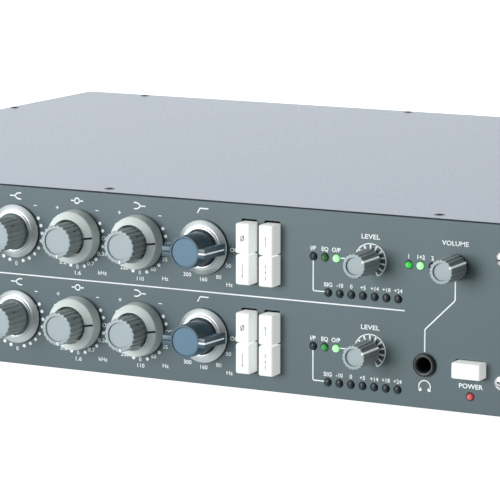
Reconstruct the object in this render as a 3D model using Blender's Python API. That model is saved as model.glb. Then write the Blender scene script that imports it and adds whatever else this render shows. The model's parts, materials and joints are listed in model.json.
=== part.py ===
"""A two-channel microphone preamp with equaliser, in a 19-inch rack case two units high.

The origin is at the centre of the case's underside. +X runs to the right along the front
panel, +Y runs towards the back and +Z is up. Lengths are in metres: each size below is
written in millimetres times MM. Channel 1 is the upper row of controls, channel 2 the lower.
"""

import math

import bmesh
import bpy

MM = 0.001

# Case. The panel follows the 19-inch rack standard at two units.
RACK_WIDTH = 482.6 * MM
PANEL_HEIGHT = 88.1 * MM
PANEL_THICKNESS = 3.0 * MM
PANEL_CHAMFER = 0.4 * MM
RACK_SLOT_X = 232.55 * MM
RACK_SLOT_RISE = 38.1 * MM
RACK_SLOT_LENGTH = 10.3 * MM
RACK_SLOT_HEIGHT = 6.8 * MM
CASE_WIDTH = 436.0 * MM
CASE_DEPTH = 362.0 * MM
CASE_HEIGHT = 87.6 * MM
SHEET = 1.2 * MM
GAP = 0.3 * MM
COVER_LIP = 15.0 * MM
TRAY_FLANGE = 9.0 * MM

# Places that follow from the case.
FRONT = -CASE_DEPTH / 2
BACK = CASE_DEPTH / 2
PANEL_BACK = FRONT + PANEL_THICKNESS
TRAY_HALF = CASE_WIDTH / 2 - SHEET - GAP
TRAY_FRONT = PANEL_BACK + GAP
REAR_PANEL_FRONT = BACK - 2 * SHEET

# The two channels.
CHANNEL_HEIGHT = {1: 66.0 * MM, 2: 23.73 * MM}
KNOB_PITCH = 34.58 * MM
MID_X = -8.73 * MM
HF_X = MID_X - KNOB_PITCH
LOW_X = MID_X + KNOB_PITCH
HPF_X = MID_X + 2 * KNOB_PITCH
TRIM_X = -83.0 * MM
GAIN_X = -122.0 * MM
LEVEL_X = 147.5 * MM
COMBO_X = -188.0 * MM
BUTTON_COLUMNS = {"left": -156.0 * MM, "a": 84.8 * MM, "b": 96.9 * MM}

LEVEL_RISE = 0.4 * MM

# Right end of the panel: headphone and power controls.
VOLUME_X = 190.1 * MM
VOLUME_Z = 66.95 * MM
JACK_X = 175.3 * MM
POWER_X = 198.1 * MM
JACK_Z = 20.4 * MM
POWER_LED_Z = 7.8 * MM

# Lamps: small round LEDs that look through the panel.
LED_RADIUS = 1.5 * MM
LED_HOLE_RADIUS = 1.8 * MM
LED_PROUD = 1.0 * MM
SOURCE_LEDS = [118.5 * MM, 124.5 * MM, 130.4 * MM]
METER_PITCH = 5.95 * MM
METER_FIRST_X = 126.0 * MM
METER_COUNT = 7
METER_DROP = 16.3 * MM
PHONES_LEDS = [166.9 * MM, 172.8 * MM, 178.7 * MM]

# Knobs, measured from the panel's front face, which is depth 0; negative depths stand proud.
SHAFT_RADIUS = 3.0 * MM
INNER_SHAFT_RADIUS = 1.7 * MM
SHAFT_HOLE = 3.5 * MM
SHAFT_END = 12.0 * MM
KNOB_CLEARANCE = -0.8 * MM
GAIN_FRONT = -20.0 * MM
GAIN_RADIUS = 7.9 * MM
GAIN_BASE_RADIUS = 8.0 * MM
SHELF_BASE = -4.6 * MM
SHELF_GROOVE_RADIUS = 7.2 * MM
LEVEL_CLEARANCE = -2.2 * MM
SMALL_LENGTH = 15.4 * MM
SMALL_RADIUS = 5.5 * MM
SMALL_BASE_RADIUS = 6.1 * MM
RING_BASE_RADIUS = 13.1 * MM
RING_RADIUS = 12.6 * MM
RING_HOLE = 9.1 * MM
RING_SHOULDER = -7.0 * MM
RING_FRONT = -9.6 * MM
RING_FLOOR = -2.6 * MM
SKIRT_RADIUS = 13.1 * MM
SKIRT_CREST_RADIUS = 9.7 * MM
SKIRT_CREST = -3.4 * MM
WING_FRONT = -18.6 * MM
WING_BASE = -3.7 * MM
WING_BARREL_FRONT = 7.6 * MM
WING_BARREL_BASE = 8.2 * MM
WING_HALF_FRONT = 2.6 * MM
WING_HALF_BASE = 2.9 * MM
WING_POINTER_FRONT = 11.1 * MM
WING_TAIL_FRONT = 12.3 * MM
WING_REACH = 12.8 * MM

# Push buttons.
BUTTON_WIDTH = 7.5 * MM
BUTTON_LENGTH = 14.3 * MM
BUTTON_PROUD = 7.0 * MM
POWER_PROUD = 6.0 * MM
BUTTON_TAIL = 2.0 * MM
BUTTON_STACK = 7.4 * MM
BUTTON_DROP = 0.6 * MM
BUTTON_SLOT_MARGIN = 0.35 * MM
STEM_HALF = 1.4 * MM
STEM_END = 10.0 * MM
STEM_POCKET_END = 14.0 * MM

# Boards behind the panel.
BOARD_FRONT = 15.0 * MM
BOARD = 1.6 * MM
BODY_FRONT = 5.2 * MM
SWITCH_FRONT = 6.2 * MM
POT_HALF = 8.0 * MM
BUSH_RADIUS = 4.6 * MM
CHANNEL_BOARD_HALF = 19.0 * MM

ROUND = 18
SMALL_KNOB_ROUND = 16
SMALL_ROUND = 10
LED_ROUND = 8

FINISHES = {
    "panel": ((0.16, 0.20, 0.215), 0.45, 0.3),
    "case": ((0.30, 0.33, 0.36), 0.45, 0.3),
    "zinc": ((0.55, 0.56, 0.57), 0.35, 0.9),
    "grey_knob": ((0.48, 0.54, 0.57), 0.45, 0.0),
    "ring": ((0.62, 0.65, 0.64), 0.45, 0.0),
    "blue_knob": ((0.10, 0.20, 0.30), 0.4, 0.0),
    "red_knob": ((0.50, 0.03, 0.03), 0.4, 0.0),
    "button": ((0.85, 0.86, 0.85), 0.3, 0.0),
    "board": ((0.02, 0.16, 0.07), 0.5, 0.0),
    "lamp_board": ((0.05, 0.12, 0.08), 0.4, 0.0),
    "core": ((0.10, 0.10, 0.11), 0.5, 0.6),
    "winding": ((0.45, 0.22, 0.07), 0.5, 0.1),
    "socket": ((0.02, 0.02, 0.022), 0.4, 0.0),
}


def clear_scene():
    for item in list(bpy.data.objects):
        bpy.data.objects.remove(item)


def finish_of(name):
    """The Principled material of one finish, made the first time it is asked for."""
    found = bpy.data.materials.get(name)
    if found:
        return found
    colour, roughness, metallic = FINISHES[name]
    made = bpy.data.materials.new(name)
    made.use_nodes = True
    shader = made.node_tree.nodes["Principled BSDF"]
    shader.inputs["Base Color"].default_value = (*colour, 1.0)
    shader.inputs["Roughness"].default_value = roughness
    shader.inputs["Metallic"].default_value = metallic
    return made


def make_object(name, shape, finish=None, at=(0, 0, 0)):
    """Turns a bmesh into a scene object. Without a finish it is a hidden helper for a Boolean."""
    bmesh.ops.recalc_face_normals(shape, faces=shape.faces)
    mesh = bpy.data.meshes.new(name)
    shape.to_mesh(mesh)
    shape.free()
    mesh.shade_smooth()
    mesh.set_sharp_from_angle(angle=math.radians(35))
    item = bpy.data.objects.new(name, mesh)
    item.location = at
    bpy.context.scene.collection.objects.link(item)
    if finish:
        mesh.materials.append(finish_of(finish))
    else:
        item.hide_render = True
        item.display_type = "WIRE"
    return item


def boolean(item, other, operation):
    change = item.modifiers.new(operation.lower(), "BOOLEAN")
    change.operation = operation
    change.object = other


def loft(shape, rings, closed=False):
    """Skins rings of equal point counts; closed joins the last to the first, else both are capped."""
    rows = [[shape.verts.new(point) for point in ring] for ring in rings]
    pairs = list(zip(rows, rows[1:]))
    if closed:
        pairs.append((rows[-1], rows[0]))
    else:
        shape.faces.new(rows[0])
        shape.faces.new(reversed(rows[-1]))
    for one, two in pairs:
        for i in range(len(one)):
            j = (i + 1) % len(one)
            shape.faces.new((one[i], two[i], two[j], one[j]))


def circle(radius, depth, segments):
    """A ring about the Y axis, at one depth."""
    turn = 2 * math.pi / segments
    return [(radius * math.cos(i * turn), depth, radius * math.sin(i * turn)) for i in range(segments)]


def turned(shape, profile, segments=ROUND, closed=False):
    """A shape turned about the Y axis from (radius, depth) points."""
    loft(shape, [circle(radius, depth, segments) for radius, depth in profile], closed)


def add_box(shape, low, high):
    x0, y0, z0 = low
    x1, y1, z1 = high
    loft(shape, [[(x0, y, z0), (x1, y, z0), (x1, y, z1), (x0, y, z1)] for y in (y0, y1)])


def add_rod(shape, x, z, radius, low, high, segments=SMALL_ROUND):
    """A round rod along Y."""
    rings = [circle(radius, depth, segments) for depth in (low, high)]
    loft(shape, [[(x + px, py, z + pz) for px, py, pz in ring] for ring in rings])


def add_post(shape, x, y, radius, low, high, segments=8):
    """A round post along Z."""
    ring = circle(radius, 0, segments)
    loft(shape, [[(x + px, y + pz, height) for px, _, pz in ring] for height in (low, high)])


def add_prism(shape, outline, place):
    """Extrudes an outline between two places; place maps (u, v, end) to a point, end 0 or 1."""
    loft(shape, [[place(u, v, end) for u, v in outline] for end in (0, 1)])


def panel_cutter():
    """Everything that is cut through the front panel."""
    shape = bmesh.new()
    near = FRONT - PANEL_THICKNESS
    far = PANEL_BACK + PANEL_THICKNESS
    for side in (-1, 1):
        for rise in (-1, 1):
            x = side * RACK_SLOT_X
            z = PANEL_HEIGHT / 2 + rise * RACK_SLOT_RISE
            add_slot(shape, x, z, RACK_SLOT_LENGTH, RACK_SLOT_HEIGHT, near, far)
    for z in CHANNEL_HEIGHT.values():
        for x in (GAIN_X, HF_X, MID_X, LOW_X, HPF_X):
            add_rod(shape, x, z, SHAFT_HOLE, near, far)
        for x in (TRIM_X, LEVEL_X):
            add_rod(shape, x, z + LEVEL_RISE, SHAFT_HOLE, near, far)
        add_rod(shape, COMBO_X, z, 12.0 * MM, near, far, ROUND)
        half_width = BUTTON_WIDTH / 2 + BUTTON_SLOT_MARGIN
        half_height = BUTTON_STACK + BUTTON_LENGTH / 2 + BUTTON_SLOT_MARGIN
        for x in BUTTON_COLUMNS.values():
            low = (x - half_width, near, z - BUTTON_DROP - half_height)
            add_box(shape, low, (x + half_width, far, z + half_height))
    add_rod(shape, VOLUME_X, VOLUME_Z, SHAFT_HOLE, near, far)
    add_rod(shape, JACK_X, JACK_Z, 4.8 * MM, near, far)
    half_width = BUTTON_LENGTH / 2 + BUTTON_SLOT_MARGIN
    half_height = BUTTON_WIDTH / 2 + BUTTON_SLOT_MARGIN
    add_box(
        shape,
        (POWER_X - half_width, near, JACK_Z - half_height),
        (POWER_X + half_width, far, JACK_Z + half_height),
    )
    for x, z in channel_leds(1) + channel_leds(2) + phones_leds() + [(POWER_X, POWER_LED_Z)]:
        add_rod(shape, x, z, LED_HOLE_RADIUS, near, far, LED_ROUND)
    return make_object("panel_cutter", shape)


def add_slot(shape, x, z, length, height, near, far, segments=6):
    """A slot with round ends, along X, cut from near to far."""
    radius = height / 2
    straight = length / 2 - radius
    outline = []
    for side in (1, -1):
        for i in range(segments + 1):
            angle = math.pi * i / segments - math.pi / 2
            outline.append((x + side * (straight + radius * math.cos(angle)), z + side * radius * math.sin(angle)))
    add_prism(shape, outline, lambda u, v, end: (u, far if end else near, v))


def channel_leds(channel):
    """(x, z) of the three source lamps and the seven meter lamps of one channel."""
    z = CHANNEL_HEIGHT[channel] + 0.35 * MM
    meter = [(METER_FIRST_X + i * METER_PITCH, z - METER_DROP) for i in range(METER_COUNT)]
    return [(x, z) for x in SOURCE_LEDS] + meter


def phones_leds():
    return [(x, CHANNEL_HEIGHT[1] + 0.35 * MM) for x in PHONES_LEDS]


def front_panel():
    outline = [
        (FRONT + PANEL_CHAMFER, 0),
        (PANEL_BACK, 0),
        (PANEL_BACK, PANEL_HEIGHT),
        (FRONT + PANEL_CHAMFER, PANEL_HEIGHT),
        (FRONT, PANEL_HEIGHT - PANEL_CHAMFER),
        (FRONT, PANEL_CHAMFER),
    ]
    shape = bmesh.new()
    ends = (-RACK_WIDTH / 2, -CASE_WIDTH / 2, CASE_WIDTH / 2, RACK_WIDTH / 2)
    loft(shape, [[(x, y, z) for y, z in outline] for x in ends])
    boolean(make_object("front_panel", shape, "panel"), panel_cutter(), "DIFFERENCE")


def chassis_tray():
    """Floor and sides folded from one sheet, with a flange at each side for the panel's screws."""
    top = CASE_HEIGHT - SHEET - GAP
    inside = TRAY_HALF - SHEET
    outline = [(-TRAY_HALF, 0), (TRAY_HALF, 0), (TRAY_HALF, top), (inside, top)]
    outline += [(inside, SHEET), (-inside, SHEET), (-inside, top), (-TRAY_HALF, top)]
    shape = bmesh.new()
    add_prism(shape, outline, lambda x, z, end: (x, BACK if end else TRAY_FRONT, z))
    tray = make_object("chassis_tray", shape, "zinc")
    flanges = bmesh.new()
    for side in (-1, 1):
        near, far = sorted((side * (inside - TRAY_FLANGE), side * (inside + SHEET / 2)))
        add_box(flanges, (near, TRAY_FRONT, SHEET / 2), (far, TRAY_FRONT + SHEET, top))
    boolean(tray, make_object("tray_flanges", flanges), "UNION")
    vents = bmesh.new()
    for side in (-1, 1):
        for i in range(8):
            y = BACK - 60 * MM - i * 12 * MM
            near, far = sorted((side * (inside - SHEET), side * (TRAY_HALF + SHEET)))
            add_box(vents, (near, y - 2 * MM, 22 * MM), (far, y + 2 * MM, 62 * MM))
    boolean(tray, make_object("tray_vents", vents), "DIFFERENCE")


def top_cover():
    """A flat lid with a lip folded down along each side."""
    outer = CASE_WIDTH / 2
    inner = outer - SHEET
    low = CASE_HEIGHT - COVER_LIP
    outline = [(-outer, low), (-inner, low), (-inner, CASE_HEIGHT - SHEET), (inner, CASE_HEIGHT - SHEET)]
    outline += [(inner, low), (outer, low), (outer, CASE_HEIGHT), (-outer, CASE_HEIGHT)]
    shape = bmesh.new()
    add_prism(shape, outline, lambda x, z, end: (x, BACK if end else TRAY_FRONT, z))
    make_object("top_cover", shape, "case")


# The connectors on the back: (node name, x, kind).
REAR_SOCKETS = [
    ("mic_input_1", -180 * MM, "female"),
    ("line_input_1", -144 * MM, "female"),
    ("line_output_1", -108 * MM, "male"),
    ("mic_input_2", -52 * MM, "female"),
    ("line_input_2", -16 * MM, "female"),
    ("line_output_2", 20 * MM, "male"),
]
REAR_SOCKET_Z = 44.0 * MM
INLET_X = 170.0 * MM
XLR_BODY = 11.6 * MM
XLR_HOLE = 12.0 * MM
XLR_HALF_WIDTH = 13.0 * MM
XLR_HALF_HEIGHT = 15.5 * MM
XLR_FLANGE = 1.8 * MM
XLR_DEPTH = 22.0 * MM
XLR_MOUTH = 9.6 * MM


def rear_panel():
    inside = TRAY_HALF - SHEET - GAP
    shape = bmesh.new()
    low = (-inside, REAR_PANEL_FRONT, SHEET + GAP)
    high = (inside, REAR_PANEL_FRONT + SHEET, CASE_HEIGHT - SHEET - GAP)
    add_box(shape, low, high)
    panel = make_object("rear_panel", shape, "zinc")
    holes = bmesh.new()
    near = REAR_PANEL_FRONT - SHEET
    far = BACK + SHEET
    for _, x, _ in REAR_SOCKETS:
        add_rod(holes, x, REAR_SOCKET_Z, XLR_HOLE, near, far, ROUND)
    low = (INLET_X - INLET_HALF_WIDTH - GAP, near, REAR_SOCKET_Z - INLET_HALF_HEIGHT - GAP)
    high = (INLET_X + INLET_HALF_WIDTH + GAP, far, REAR_SOCKET_Z + INLET_HALF_HEIGHT + GAP)
    add_box(holes, low, high)
    boolean(panel, make_object("rear_holes", holes), "DIFFERENCE")


def round_socket(name, at, facing, mouth_depth, bore_radius, bore_depth, pins=()):
    """A square-flanged round connector. facing is -1 towards the front and 1 towards the back."""
    shape = bmesh.new()
    near, far = sorted((facing * GAP, facing * (GAP + XLR_FLANGE)))
    add_box(shape, (-XLR_HALF_WIDTH, near, -XLR_HALF_HEIGHT), (XLR_HALF_WIDTH, far, XLR_HALF_HEIGHT))
    socket = make_object(name, shape, "socket", at)
    barrel = bmesh.new()
    near, far = sorted((-facing * XLR_DEPTH, facing * (GAP + XLR_FLANGE / 2)))
    add_rod(barrel, 0, 0, XLR_BODY, near, far, ROUND)
    boolean(socket, make_object(name + "_barrel", barrel, at=at), "UNION")
    face = GAP + XLR_FLANGE
    mouth = bmesh.new()
    outer = facing * (face + GAP)
    floor = facing * (face - mouth_depth)
    rings = [circle(XLR_MOUTH, outer, ROUND), circle(XLR_MOUTH, floor, ROUND)]
    if bore_radius:
        rings.append(circle(bore_radius, floor, ROUND))
        rings.append(circle(bore_radius, facing * (face - bore_depth), ROUND))
    loft(mouth, rings)
    boolean(socket, make_object(name + "_mouth", mouth, at=at), "DIFFERENCE")
    if pins:
        rods = bmesh.new()
        for x, z in pins:
            near, far = sorted((floor - facing * SHEET, facing * (face - 2 * MM)))
            add_rod(rods, x, z, 1.2 * MM, near, far, 8)
        boolean(socket, make_object(name + "_pins", rods, at=at), "UNION")


def three_pins(radius=5.6 * MM):
    """Two contacts level with each other and one below, on one circle."""
    return [(radius * math.cos(a), radius * math.sin(a)) for a in map(math.radians, (30, 150, 270))]


def combo_sockets():
    """The front inputs take a three-pin plug, or a jack plug in the middle bore."""
    for channel, z in CHANNEL_HEIGHT.items():
        name = f"combo_socket_{channel}"
        round_socket(name, (COMBO_X, FRONT, z), -1, 3.0 * MM, 3.4 * MM, 20.0 * MM)


def rear_sockets():
    for name, x, kind in REAR_SOCKETS:
        at = (x, REAR_PANEL_FRONT + SHEET, REAR_SOCKET_Z)
        if kind == "male":
            round_socket(name, at, 1, 14.0 * MM, None, None, three_pins())
        else:
            round_socket(name, at, 1, 3.0 * MM, None, None)


INLET_HALF_WIDTH = 13.5 * MM
INLET_HALF_HEIGHT = 9.8 * MM
INLET_FLANGE_HALF = 24.0 * MM
INLET_WALL = 1.8 * MM
INLET_DEPTH = 22.0 * MM
INLET_MOUTH_DEPTH = 15.0 * MM


def iec_inlet():
    """The mains inlet: a shrouded cavity with three blades, and a flange with two ears."""
    at = (INLET_X, REAR_PANEL_FRONT + SHEET, REAR_SOCKET_Z)
    shape = bmesh.new()
    low = (-INLET_FLANGE_HALF, GAP, -INLET_HALF_HEIGHT - 1.5 * MM)
    add_box(shape, low, (INLET_FLANGE_HALF, GAP + 2 * MM, INLET_HALF_HEIGHT + 1.5 * MM))
    inlet = make_object("iec_inlet", shape, "socket", at)
    body = bmesh.new()
    low = (-INLET_HALF_WIDTH, -INLET_DEPTH, -INLET_HALF_HEIGHT)
    add_box(body, low, (INLET_HALF_WIDTH, GAP + MM, INLET_HALF_HEIGHT))
    boolean(inlet, make_object("inlet_body", body, at=at), "UNION")
    half_width = INLET_HALF_WIDTH - INLET_WALL
    half_height = INLET_HALF_HEIGHT - INLET_WALL
    cavity = bmesh.new()
    floor = GAP + 2 * MM - INLET_MOUTH_DEPTH
    add_box(cavity, (-half_width, floor, -half_height), (half_width, GAP + 3 * MM, half_height))
    boolean(inlet, make_object("inlet_cavity", cavity, at=at), "DIFFERENCE")
    blades = bmesh.new()
    for x, z in ((-7 * MM, -2 * MM), (0, 4.5 * MM), (7 * MM, -2 * MM)):
        low = (x - MM, floor - MM, z - 2 * MM)
        add_box(blades, low, (x + MM, GAP - 2 * MM, z + 2 * MM))
    boolean(inlet, make_object("inlet_blades", blades, at=at), "UNION")


def knob(name, profile, finish, x, z, segments=ROUND, closed=False):
    """A turned control, with its origin where its axis meets the panel's front face."""
    shape = bmesh.new()
    turned(shape, profile, segments, closed)
    make_object(name, shape, finish, (x, FRONT, z))


def cap_end(front, radius, recess_radius, recess):
    """The front of a knob: a rim round a shallow recess."""
    edge = 0.3 * MM
    return [
        (radius, front + edge),
        (radius - edge, front),
        (recess_radius, front),
        (recess_radius, front + recess),
    ]


def skirted_base(inner):
    """The shaft and the spun aluminium skirt under a large knob, up to the knob's own radius."""
    return [
        (SHAFT_RADIUS, SHAFT_END),
        (SHAFT_RADIUS, KNOB_CLEARANCE),
        (SKIRT_RADIUS, KNOB_CLEARANCE),
        (SKIRT_RADIUS, KNOB_CLEARANCE - 0.6 * MM),
        (SKIRT_CREST_RADIUS + 1.4 * MM, -2.9 * MM),
        (SKIRT_CREST_RADIUS, SKIRT_CREST),
        (inner, RING_FLOOR),
    ]


def small_knob(name, x, z, base):
    profile = [(SHAFT_RADIUS, SHAFT_END), (SHAFT_RADIUS, base), (SMALL_BASE_RADIUS, base)]
    profile += cap_end(base - SMALL_LENGTH, SMALL_RADIUS, 4.0 * MM, 1.4 * MM)
    knob(name, profile, "grey_knob", x, z, SMALL_KNOB_ROUND)


def shelf_knob(name, x, z):
    """The grey knob on its own aluminium skirt, with a groove between them."""
    profile = skirted_base(SHELF_GROOVE_RADIUS)
    profile += [(SHELF_GROOVE_RADIUS, SHELF_BASE), (GAIN_BASE_RADIUS, SHELF_BASE)]
    profile += cap_end(GAIN_FRONT, GAIN_RADIUS, 6.0 * MM, 1.5 * MM)
    knob(name, profile, "grey_knob", x, z)


def concentric_gain_knob(name, x, z):
    """The inner knob of a concentric pair, on the inner shaft."""
    base = RING_FLOOR - 0.6 * MM
    profile = [(INNER_SHAFT_RADIUS, SHAFT_END), (INNER_SHAFT_RADIUS, base), (GAIN_BASE_RADIUS, base)]
    profile += cap_end(GAIN_FRONT, GAIN_RADIUS, 6.0 * MM, 1.5 * MM)
    knob(name, profile, "grey_knob", x, z)


def frequency_ring(name, x, z):
    """The outer knob of a concentric pair: a cup on a hollow shaft, with a sloping face."""
    bore = INNER_SHAFT_RADIUS + GAP
    profile = [
        (bore, 9.0 * MM),
        (SHAFT_RADIUS, 9.0 * MM),
        (SHAFT_RADIUS, KNOB_CLEARANCE),
        (RING_BASE_RADIUS, KNOB_CLEARANCE),
        (RING_RADIUS, RING_SHOULDER),
        (RING_RADIUS - 0.4 * MM, RING_SHOULDER - 0.4 * MM),
        (RING_HOLE + 0.3 * MM, RING_FRONT),
        (RING_HOLE, RING_FRONT + 0.2 * MM),
        (RING_HOLE, RING_FLOOR),
        (bore, RING_FLOOR),
    ]
    knob(name, profile, "ring", x, z, closed=True)


def wing_outline(radius, pointer, tail, depth, half=0.0, arc=6):
    """A round barrel with a square wing at each side; with no wings it is a plain circle."""
    right = []
    for side, reach in ((1, pointer), (-1, tail)):
        if reach:
            tip = (side * reach, side * half)
            root_angle = math.asin(half / radius)
        else:
            tip = (side * radius * math.cos(math.radians(8)), side * radius * math.sin(math.radians(8)))
            root_angle = math.radians(20)
        right.append(tip)
        start = root_angle if side == 1 else math.pi + root_angle
        sweep = math.pi - 2 * root_angle
        for i in range(arc + 1):
            angle = start + sweep * i / arc
            right.append((radius * math.cos(angle), radius * math.sin(angle)))
        other = tail if side == 1 else pointer
        if other:
            right.append((-side * other, side * half))
        else:
            angle = math.radians(172 if side == 1 else 352)
            right.append((radius * math.cos(angle), radius * math.sin(angle)))
    return [(x, depth, z) for x, z in right]


def wing_knob(name, finish, x, z, pointing=0):
    """A switch knob with a pointer wing and a tail wing, on an aluminium skirt."""
    rings = [wing_outline(radius, None, None, depth) for radius, depth in skirted_base(WING_BARREL_BASE)]
    rings.append(wing_outline(WING_BARREL_BASE, None, None, WING_BASE))
    rings.append(wing_outline(WING_BARREL_BASE, WING_REACH, WING_REACH, WING_BASE, WING_HALF_BASE))
    front = wing_outline(WING_BARREL_FRONT, WING_POINTER_FRONT, WING_TAIL_FRONT, WING_FRONT, WING_HALF_FRONT)
    rings.append(front)
    rings.append(wing_outline(6.8 * MM, None, None, WING_FRONT))
    rings.append(wing_outline(6.8 * MM, None, None, WING_FRONT + 0.8 * MM))
    shape = bmesh.new()
    loft(shape, rings)
    item = make_object(name, shape, finish, (x, FRONT, z))
    item.rotation_euler.y = -pointing


def channel_knobs(channel):
    z = CHANNEL_HEIGHT[channel]
    wing_knob(f"gain_knob_{channel}", "red_knob", GAIN_X, z, math.radians(90))
    small_knob(f"trim_knob_{channel}", TRIM_X, z + LEVEL_RISE, LEVEL_CLEARANCE)
    shelf_knob(f"hf_knob_{channel}", HF_X, z)
    for band, x in (("mid", MID_X), ("low", LOW_X)):
        concentric_gain_knob(f"{band}_gain_knob_{channel}", x, z)
        frequency_ring(f"{band}_frequency_ring_{channel}", x, z)
    wing_knob(f"hpf_knob_{channel}", "blue_knob", HPF_X, z)
    small_knob(f"level_knob_{channel}", LEVEL_X, z + LEVEL_RISE, LEVEL_CLEARANCE)


def button(name, half_width, half_height, proud, x, z):
    """A push button: a cap with eased front edges, and the stem that works the switch."""
    ease = 0.7 * MM

    def frame(w, h, depth):
        return [(-w, depth, -h), (w, depth, -h), (w, depth, h), (-w, depth, h)]

    rings = [
        frame(STEM_HALF, STEM_HALF, STEM_END),
        frame(STEM_HALF, STEM_HALF, BUTTON_TAIL),
        frame(half_width, half_height, BUTTON_TAIL),
        frame(half_width, half_height, ease - proud),
        frame(half_width - ease, half_height - ease, -proud),
    ]
    shape = bmesh.new()
    loft(shape, rings)
    make_object(name, shape, "button", (x, FRONT, z))


def channel_buttons(channel):
    z = CHANNEL_HEIGHT[channel] - BUTTON_DROP
    for column, x in BUTTON_COLUMNS.items():
        for row, rise in (("upper", BUTTON_STACK), ("lower", -BUTTON_STACK)):
            name = f"button_{column}_{row}_{channel}"
            button(name, BUTTON_WIDTH / 2, BUTTON_LENGTH / 2, BUTTON_PROUD, x, z + rise)


def board_with(name, finish, low, high, bodies, pockets):
    """A board with its components joined to it, and the pockets that shafts and stems enter."""
    shape = bmesh.new()
    add_box(shape, low, high)
    board = make_object(name, shape, finish)
    boolean(board, make_object(name + "_bodies", bodies), "UNION")
    if pockets:
        boolean(board, make_object(name + "_pockets", pockets), "DIFFERENCE")


def add_pot(bodies, pockets, x, z):
    """A potentiometer or rotary switch: a square body with a round bush, and its shaft's pocket."""
    bush = circle(BUSH_RADIUS, 0, 12)
    front = [(x + px, PANEL_BACK + GAP, z + pz) for px, _, pz in bush]
    back = [(x + px, FRONT + BODY_FRONT, z + pz) for px, _, pz in bush]

    def square(depth, half):
        scale = half / BUSH_RADIUS * math.sqrt(2)
        points = []
        for px, _, pz in bush:
            qx = max(-half, min(half, px * scale))
            qz = max(-half, min(half, pz * scale))
            points.append((x + qx, depth, z + qz))
        return points

    body_front = FRONT + BODY_FRONT
    loft(bodies, [front, back, square(body_front, POT_HALF), square(FRONT + BOARD_FRONT + BOARD / 2, POT_HALF)])
    add_rod(pockets, x, z, SHAFT_HOLE, FRONT, FRONT + SHAFT_END + MM, 12)


def add_switch(bodies, pockets, x, z, half_width, half_height):
    """A push switch, with the pocket that takes the button's stem."""
    back = FRONT + BOARD_FRONT + BOARD / 2
    add_box(bodies, (x - half_width, FRONT + SWITCH_FRONT, z - half_height), (x + half_width, back, z + half_height))
    half = STEM_HALF + GAP
    add_box(pockets, (x - half, FRONT, z - half), (x + half, FRONT + STEM_POCKET_END, z + half))


def control_board(channel):
    """The board behind one channel's knobs and buttons."""
    z = CHANNEL_HEIGHT[channel]
    bodies = bmesh.new()
    pockets = bmesh.new()
    for x in (GAIN_X, HF_X, MID_X, LOW_X, HPF_X):
        add_pot(bodies, pockets, x, z)
    add_pot(bodies, pockets, TRIM_X, z + LEVEL_RISE)
    for x in BUTTON_COLUMNS.values():
        for rise in (BUTTON_STACK, -BUTTON_STACK):
            add_switch(bodies, pockets, x, z - BUTTON_DROP + rise, 3.4 * MM, 6.4 * MM)
    low = (-163 * MM, FRONT + BOARD_FRONT, z - CHANNEL_BOARD_HALF)
    high = (103 * MM, FRONT + BOARD_FRONT + BOARD, z + CHANNEL_BOARD_HALF)
    board_with(f"control_board_{channel}", "board", low, high, bodies, pockets)


def add_led(bodies, x, z, back):
    """An LED on its spacer: a thin rod with a domed front."""
    profile = [(LED_RADIUS, back), (LED_RADIUS, FRONT - LED_PROUD / 3)]
    profile += [(LED_RADIUS * 0.72, FRONT - LED_PROUD * 0.85), (LED_RADIUS * 0.25, FRONT - LED_PROUD)]
    rings = [circle(radius, depth, LED_ROUND) for radius, depth in profile]
    loft(bodies, [[(x + px, py, z + pz) for px, py, pz in ring] for ring in rings])


def meter_board(channel):
    """The lamps and the level control of one channel; the upper board also serves the headphones."""
    z = CHANNEL_HEIGHT[channel]
    bodies = bmesh.new()
    pockets = bmesh.new()
    back = FRONT + BOARD_FRONT + BOARD / 2
    lamps = channel_leds(channel) + (phones_leds() if channel == 1 else [])
    for x, lamp_z in lamps:
        add_led(bodies, x, lamp_z, back)
    add_pot(bodies, pockets, LEVEL_X, z + LEVEL_RISE)
    right = 165 * MM
    if channel == 1:
        add_pot(bodies, pockets, VOLUME_X, VOLUME_Z)
        right = 200 * MM
    low = (114 * MM, FRONT + BOARD_FRONT, z - CHANNEL_BOARD_HALF)
    high = (right, FRONT + BOARD_FRONT + BOARD, z + CHANNEL_BOARD_HALF)
    board_with(f"meter_board_{channel}", "lamp_board", low, high, bodies, pockets)


def power_switch():
    """The mains switch on its small board, which also carries the power lamp."""
    bodies = bmesh.new()
    pockets = bmesh.new()
    add_switch(bodies, pockets, POWER_X, JACK_Z, 6.4 * MM, 6.4 * MM)
    add_led(bodies, POWER_X, POWER_LED_Z, FRONT + BOARD_FRONT + BOARD / 2)
    low = (POWER_X - 9 * MM, FRONT + BOARD_FRONT, 3 * MM)
    high = (POWER_X + 5 * MM, FRONT + BOARD_FRONT + BOARD, 38 * MM)
    board_with("power_switch", "lamp_board", low, high, bodies, pockets)


def headphone_jack():
    """The quarter-inch jack socket: a flange outside, a threaded nose and a bored body."""
    shape = bmesh.new()
    profile = [
        (7.0 * MM, 28.0 * MM),
        (7.0 * MM, PANEL_THICKNESS + 0.5 * MM),
        (4.5 * MM, PANEL_THICKNESS + 0.5 * MM),
        (4.5 * MM, -GAP),
        (5.5 * MM, -GAP),
        (5.5 * MM, -1.4 * MM),
        (5.1 * MM, -1.9 * MM),
        (3.5 * MM, -1.9 * MM),
        (3.3 * MM, -1.6 * MM),
        (3.3 * MM, 26.0 * MM),
    ]
    turned(shape, profile, SMALL_KNOB_ROUND)
    make_object("headphone_jack", shape, "socket", (JACK_X, FRONT, JACK_Z))


FLOOR_BOARD_Z = 10.0 * MM
POST_RADIUS = 3.0 * MM


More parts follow.
